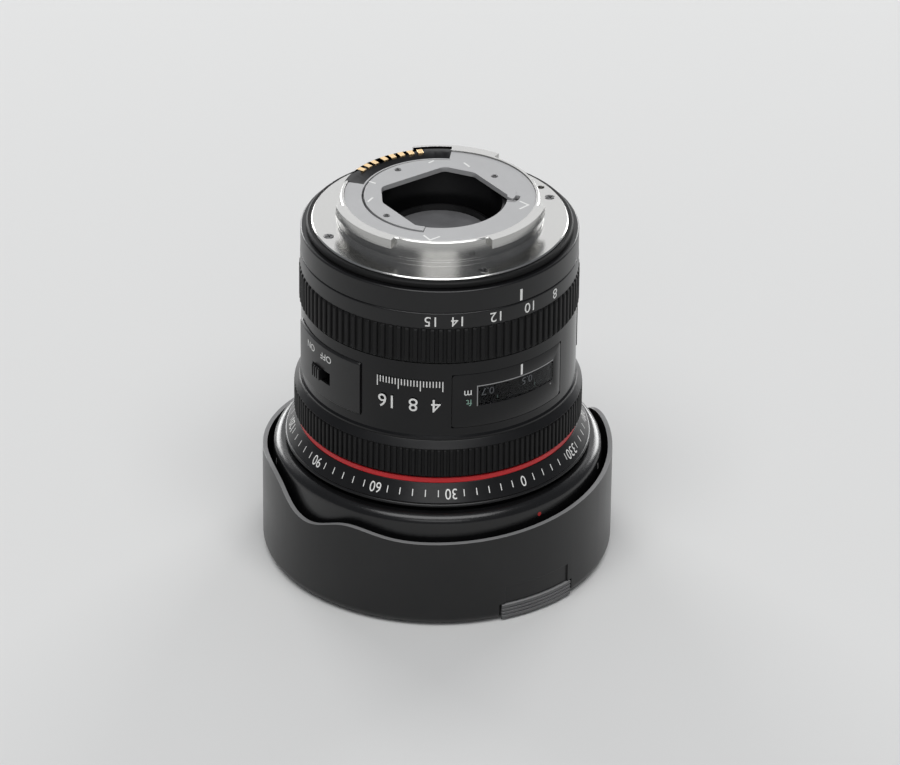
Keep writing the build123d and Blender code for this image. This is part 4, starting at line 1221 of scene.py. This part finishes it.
@dataclass(frozen=True)
class Rubber:
    """A rubber sleeve with rounded ribs all round."""

    count: int
    depth: float
    width: float
    slope: float
    margin: float
    wall: float
    edge: float = 0.12

    def lay(self, shop: Workshop, name: str, node: str, body: str) -> None:
        """Makes the rubber in the place of a plain grip.

        Args:
            shop: the workshop.
            name: the piece's name.
            node: the grip's node.
            body: the body that it rides on.
        """
        low, high = span(node)
        outer = reach(node)
        foot = outer - self.depth
        inner = foot - self.wall
        sleeve = lathe("sleeve", rounded_outline([
            (inner, low, 0), (foot, low, self.edge), (foot, high, self.edge), (inner, high, 0),
        ]))
        rib = Rib(foot, outer, low + self.margin, high - self.margin, self.width, self.slope)
        row = Row(self.count, 0.0, FULL_TURN / self.count)
        ribs = shop.repeated(name + "_ribs", rib.mesh(), row, "rubber_black")
        shop.add_all(name, [sleeve, ribs], "rubber_black", body, [node])


@dataclass
class ZoomRing(Assembly):
    """The zoom ring with its focal-length figures and ribbed rubber."""

    rubber: Rubber = Rubber(104, depth=0.55, width=1.35, slope=0.55, margin=0.06, wall=0.35)
    figure_size: float = 3.9
    figures: tuple[tuple[str, float], ...] = (
        ("8", 19.8), ("10", 4.8), ("12", -11.3), ("14", -27.6), ("15", -38.5),
    )

    def build(self) -> None:
        """Makes the ring, its rubber and its figures."""
        self.shop.soften("zoom_ring", "black_metal", "zoom", width=0.14, segments=3)
        self.rubber.lay(self.shop, "zoom_rubber", "zoom_grip", "zoom")
        middle = (span("zoom_grip")[1] + span("zoom_ring")[1]) / 2
        words = [(text, angle, middle) for text, angle in self.figures]
        self.print_words("zoom_figures", "zoom_ring", self.figure_size, words, body="zoom")


@dataclass
class FixedBarrel(Assembly):
    """The middle barrel with the window, the printed panel and the two switches."""

    clear: BentPanel = BentPanel(first=-18.6, last=20.0, low=58.5, high=63.8, corner=0.5)
    plate_first: float = -29.8
    plate_last: float = 25.8
    plate_corner: float = 1.0
    plate_thickness: float = 0.7
    plate_edge: float = 0.15
    plate_edge_share: float = 0.3
    pane_drop: float = 0.12
    pane_thickness: float = 0.4
    pane_lap: float = 0.3
    pane_lap_angle: float = 0.5
    strip_size: float = 2.9
    strip_level: float = 61.7
    strip_figures: tuple[tuple[str, float], ...] = (
        ("0.2", 25.0), ("0.5", 5.5), ("0.7", -14.0), ("1", -31.0), ("2", -46.0), ("3", -60.0),
    )
    strip_tick_level: float = 59.4
    strip_tick_turn: float = 4.5
    strip_tick: Point = (0.2, 0.9)
    window_size: float = 2.9
    index_place: Point = (1.1, 65.9)
    index_mark: Point = (0.6, 3.0)
    metre: Word = ("m", -23.2, 62.2)
    foot: Word = ("ft", -22.7, 59.6)
    foot_size: float = 2.6
    bracket_gap: float = 0.25
    bracket_turn: float = 0.6
    bracket_line: float = 0.24
    bracket_post: float = 0.22
    bracket_drop: float = 0.3
    dot_turn: float = 1.7
    dot_drop: float = 0.9
    dot_radius: float = 0.22
    panel_size: float = 5.2
    panel_level: float = 59.4
    panel_figures: tuple[tuple[str, float], ...] = (("16", -56.6), ("8", -45.6), ("4", -36.4))
    panel_ticks: Row = Row(count=22, first=-60.9, step=1.3)
    panel_top: float = 66.2
    panel_tick_width: float = 0.26
    panel_tick_length: float = 1.7
    panel_long_tick: float = 2.9
    panel_long_every: int = 7
    switch_size: float = 2.7
    switch_words: tuple[tuple[str, str, tuple[Word, ...]], ...] = (
        ("limit_words", "limit_plate", (("ON", -100.0, 64.9), ("OFF", -88.3, 64.9))),
        ("mode_words", "mode_plate", (("ON", 82.0, 64.9), ("OFF", 94.0, 64.9))),
    )

    def build(self) -> None:
        """Makes the barrel's pieces."""
        shop = self.shop
        shop.soften("fixed_barrel", "gloss_black", "root", width=0.12, segments=3)
        shop.soften("limit_plate", "black_plastic", "root", width=0.2, segments=3)
        shop.soften("mode_plate", "black_plastic", "root", width=0.2, segments=3)
        shop.soften("limit_knob", "black_plastic", "limit_switch", width=0.1)
        shop.soften("mode_knob", "black_plastic", "mode_switch", width=0.1)
        self.window()
        self.scale_marks()
        self.window_marks()
        self.panel_marks()
        for name, plate, words in self.switch_words:
            self.print_words(name, plate, self.switch_size, words)

    def window(self) -> None:
        """Makes the gloss window plate and the clear pane in it."""
        clear = self.clear
        outer = reach("window_glass")
        plate = BentPanel(self.plate_first, self.plate_last, *span("window_glass"), self.plate_corner)
        eased = self.plate_edge * self.plate_edge_share
        profile = (
            (outer - self.plate_thickness, 0.0), (outer - self.plate_edge, 0.0), (outer - eased, eased),
            (outer, self.plate_edge),
        )
        rows = [plate.loop(radius, inset) for radius, inset in profile]
        rows += [clear.loop(radius, -inset) for radius, inset in reversed(profile)]
        mesh = solid("window_plate", rows, ring=True)
        self.shop.add("window_plate", mesh, "gloss_black", "root", ["window_glass"])
        wide = replace(
            clear, first=clear.first - self.pane_lap_angle, last=clear.last + self.pane_lap_angle,
            low=clear.low - self.pane_lap, high=clear.high + self.pane_lap,
        )
        top = outer - self.pane_drop
        pane = wide.block("window_pane", top - self.pane_thickness, top)
        self.shop.add("window_pane", pane, "window", "root")

    def scale_marks(self) -> None:
        """Prints plain distances on the strip behind the window."""
        strip = "distance_scale"
        words = [(text, angle, self.strip_level) for text, angle in self.strip_figures]
        self.print_words("scale_figures", strip, self.strip_size, words, "grey_mark", "focus_drum")
        ticks = [
            Lettering.on(strip).bar(angle + self.strip_tick_turn, self.strip_tick_level, *self.strip_tick)
            for _, angle in self.strip_figures
        ]
        self.shop.add_all("scale_ticks", ticks, "green_mark", "focus_drum")

    def window_marks(self) -> None:
        """Prints the index line, the bracket and the units on the window plate."""
        lettering = Lettering.on("window_glass", self.window_size)
        clear = self.clear
        degree = reach("window_glass") * math.radians(1.0)
        level = clear.high + self.bracket_gap
        left = clear.first - self.bracket_turn
        tall = level - clear.low + self.bracket_drop
        bracket = [
            lettering.bar((left + clear.last) / 2, level, (clear.last - left) * degree, self.bracket_line),
            lettering.bar(left, (level + clear.low) / 2, self.bracket_post, tall),
            lettering.dot(clear.last - self.dot_turn, clear.low - self.dot_drop, self.dot_radius),
        ]
        self.shop.add_all("window_bracket", bracket, "grey_mark")
        marks = [lettering.bar(*self.index_place, *self.index_mark), lettering.glyphs(*self.metre)]
        self.shop.add_all("window_index", marks, "white_mark")
        self.shop.add("window_unit", lettering.glyphs(*self.foot, self.foot_size), "green_mark", "root")

    def panel_marks(self) -> None:
        """Prints a plain scale with ticks on the barrel, beside the window."""
        lettering = Lettering.on("fixed_barrel", self.panel_size)
        marks = [lettering.glyphs(text, angle, self.panel_level) for text, angle in self.panel_figures]
        ticks = self.panel_ticks
        for index in range(ticks.count):
            angle = ticks.first + ticks.step * index
            length = self.panel_tick_length if index % self.panel_long_every else self.panel_long_tick
            marks.append(lettering.bar(angle, self.panel_top - length / 2, self.panel_tick_width, length))
        self.shop.add_all("panel_scale", marks, "white_mark")


@dataclass
class FocusRing(Assembly):
    """The focus ring with its finely ribbed rubber."""

    rubber: Rubber = Rubber(144, depth=0.5, width=1.0, slope=0.45, margin=0.05, wall=0.3)

    def build(self) -> None:
        """Makes the ring and its rubber."""
        self.shop.soften("focus_ring", "black_metal", "focus", width=0.14, segments=3)
        self.rubber.lay(self.shop, "focus_rubber", "focus_grip", "focus")


@dataclass
class FrontRings(Assembly):
    """The red ring, the name ring with a plain scale, and the front housing."""

    figure_step: float = 30.0
    figure_size: float = 3.3
    tick_step: float = 5.0
    tick: Point = (0.24, 1.5)
    red_height: float = 1.35
    red_drop: float = 0.6
    red_inset: float = 1.0
    red_step: float = 0.2
    ring_wall: float = 0.45
    edge: float = 0.15

    def build(self) -> None:
        """Makes the rings and the scale."""
        self.shop.soften("front_housing", "black_metal", "root", width=0.15, segments=3)
        low = span("name_ring")[0]
        top = span("red_ring")[1] - self.red_drop
        high = top - self.red_height
        wide = reach("name_ring")
        band = reach("focus_grip") - self.red_inset
        narrow = band + self.red_step
        inner = band - self.ring_wall
        ring = lathe("name_ring", rounded_outline([
            (inner, low, 0), (wide, low, self.edge), (narrow, high, self.edge), (inner, high, 0),
        ]))
        self.shop.add("name_ring_piece", ring, "black_metal", "root", ["name_ring"])
        ring = lathe("red_ring", rounded_outline([
            (inner, high, 0), (band, high, 0), (band, top, self.edge), (inner, top, 0),
        ]))
        self.shop.add("red_ring_piece", ring, "red_paint", "root", ["red_ring"])

        def slope(height: float) -> float:
            """Gives the ring's radius at a height."""
            return wide + (narrow - wide) * (height - low) / (high - low)

        lettering = Lettering(slope, self.figure_size)
        parts = []
        for index in range(int(FULL_TURN / self.tick_step)):
            angle = index * self.tick_step
            if angle % self.figure_step == 0:
                parts.append(lettering.glyphs(str(int(angle)), -angle, (low + high) / 2))
            else:
                parts.append(lettering.bar(-angle, (low + high) / 2, *self.tick))
        self.shop.add_all("name_ring_scale", parts, "white_mark")


@dataclass
class HoodAndCap(Assembly):
    """The petal hood, its catch, the push-on cap and the two squeeze tabs."""

    flare: float = 0.9
    shoulder: float = 2.6
    index_angle: float = 2.3
    index_drop: float = 3.9
    index_radius: float = 0.55
    tick_angles: Point = (-113.0, 41.0)
    tick_drop: float = 3.6
    tick: Point = (0.5, 1.7)

    def build(self) -> None:
        """Makes the hood and the cap."""
        shop = self.shop
        shop.soften("lens_hood", "hood_plastic", "hood", width=0.3, segments=3)
        shop.soften("lens_cap", "cap_plastic", "cap", width=0.38, segments=3)
        # The squeeze tabs take the finish with the painted highlight.
        shop.soften("cap_latch_top", "ridge_plastic_painted_highlight", "latch_top", width=0.1)
        shop.soften("cap_latch_bottom", "ridge_plastic_painted_highlight", "latch_bottom", width=0.1)
        shop.soften("hood_button", "black_plastic", "hood_catch", width=0.2, segments=3)
        wide = reach("lens_hood")
        low, high = span("lens_hood")
        lean = self.flare / (high - self.shoulder - low)
        lettering = Lettering(lambda height: wide - lean * (height - low))
        dot = lettering.dot(self.index_angle, high - self.index_drop, self.index_radius)
        shop.add("hood_index", dot, "red_mark", "hood")
        ticks = [lettering.bar(angle, high - self.tick_drop, *self.tick) for angle in self.tick_angles]
        shop.add_all("hood_ticks", ticks, "grey_mark", "hood")


# Studio


@dataclass(frozen=True)
class Lamp:
    """One soft lamp that looks at the lens; its power is in watts."""

    name: str
    place: Place
    size: Point
    power: float
    aim: Place = (0.0, 0.0, 0.05)

    def hang(self) -> None:
        """Puts the lamp in the scene."""
        light = bpy.data.lights.new(self.name, "AREA")
        light.shape = "RECTANGLE"
        light.size, light.size_y = self.size
        light.energy = self.power
        look = (Vector(self.aim) - Vector(self.place)).to_track_quat("-Z", "Y")
        placed(self.name, light).matrix_world = Matrix.Translation(self.place) @ look.to_matrix().to_4x4()


@dataclass
class Studio:
    """The floor, the lamps and the camera, with lengths in metres and angles in degrees."""

    distance: float = 1.3325
    height: float = 0.8142
    azimuth: float = -35.5
    pitch: float = 29.976
    yaw: float = 0.13
    roll: float = 0.644
    focal_length_mm: float = 240.0
    sensor_width_mm: float = 36.0
    clip_start: float = 0.05
    floor_half: float = 6.0
    floor_colour: Place = (0.7, 0.7, 0.69)
    floor_roughness: float = 0.85
    sky_colour: Place = (0.9, 0.93, 1.0)
    sky_strength: float = 0.22
    lamps: tuple[Lamp, ...] = (
        Lamp("back_panel", (0.9, 1.3, 0.98), (1.5, 0.6), 3.2),
        Lamp("top_panel", (-0.36, -0.5, 1.5), (1.6, 0.8), 16.5),
        Lamp("left_panel", (0.12, 1.29, 0.34), (0.6, 0.5), 8.0),
        Lamp("right_panel", (1.18, 0.54, 0.34), (0.6, 0.5), 8.0),
        Lamp("front_panel", (-0.87, -1.22, 0.95), (1.1, 0.4), 3.0),
    )

    def build(self) -> None:
        """Sets up the whole studio."""
        self.floor()
        self.sky()
        for lamp in self.lamps:
            lamp.hang()
        self.camera()

    def floor(self) -> None:
        """Lays a plain pale floor."""
        mesh = bpy.data.meshes.new("floor")
        half = self.floor_half
        corners = [(-half, -half, 0), (half, -half, 0), (half, half, 0), (-half, half, 0)]
        mesh.from_pydata(corners, [], [(0, 1, 2, 3)])
        floor = placed("floor", mesh)
        material = bpy.data.materials.new("floor_paper")
        material.use_nodes = True
        shader = material.node_tree.nodes["Principled BSDF"]
        shader.inputs["Base Color"].default_value = (*self.floor_colour, 1.0)
        shader.inputs["Roughness"].default_value = self.floor_roughness
        mesh.materials.append(material)

    def sky(self) -> None:
        """Gives the room its even, pale light."""
        world = bpy.data.worlds.new("room")
        world.use_nodes = True
        bpy.context.scene.world = world
        ground = world.node_tree.nodes["Background"]
        ground.inputs["Color"].default_value = (*self.sky_colour, 1.0)
        ground.inputs["Strength"].default_value = self.sky_strength

    def camera(self) -> None:
        """Sets the camera where the photographer stood."""
        turn = math.radians(self.azimuth)
        right = Vector((math.cos(turn), math.sin(turn), 0))
        ahead = Vector((-math.sin(turn), math.cos(turn), 0))
        pitch, yaw, roll = (math.radians(value) for value in (self.pitch, self.yaw, self.roll))
        level_forward = right * math.sin(yaw) + ahead * math.cos(yaw)
        forward = level_forward * math.cos(pitch) - Vector((0, 0, math.sin(pitch)))
        level = right * math.cos(yaw) - ahead * math.sin(yaw)
        above = level.cross(forward)
        side = level * math.cos(roll) + above * math.sin(roll)
        up = above * math.cos(roll) - level * math.sin(roll)
        place = ahead * -self.distance + Vector((0, 0, self.height))
        data = bpy.data.cameras.new("camera")
        data.lens = self.focal_length_mm
        data.sensor_width = self.sensor_width_mm
        data.clip_start = self.clip_start
        camera = placed("camera", data)
        axes = Matrix((side, up, -forward)).transposed().to_4x4()
        camera.matrix_world = Matrix.Translation(place) @ axes
        bpy.context.scene.camera = camera


def main() -> None:
    """Loads the frame, dresses every sub-assembly and sets up the studio."""
    logging.basicConfig(level=logging.INFO, format="%(message)s")
    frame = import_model()
    bpy.context.scene.view_settings.view_transform = "Standard"
    shop = Workshop(frame)
    shop.dress_frame()
    for kind in (Mount, RearBarrel, ZoomRing, FixedBarrel, FocusRing, FrontRings, HoodAndCap):
        kind(shop).build()
        LOG.info("%s done", kind.__name__)
    Studio().build()
    bpy.context.view_layer.update()


if __name__ == "__main__":
    main()
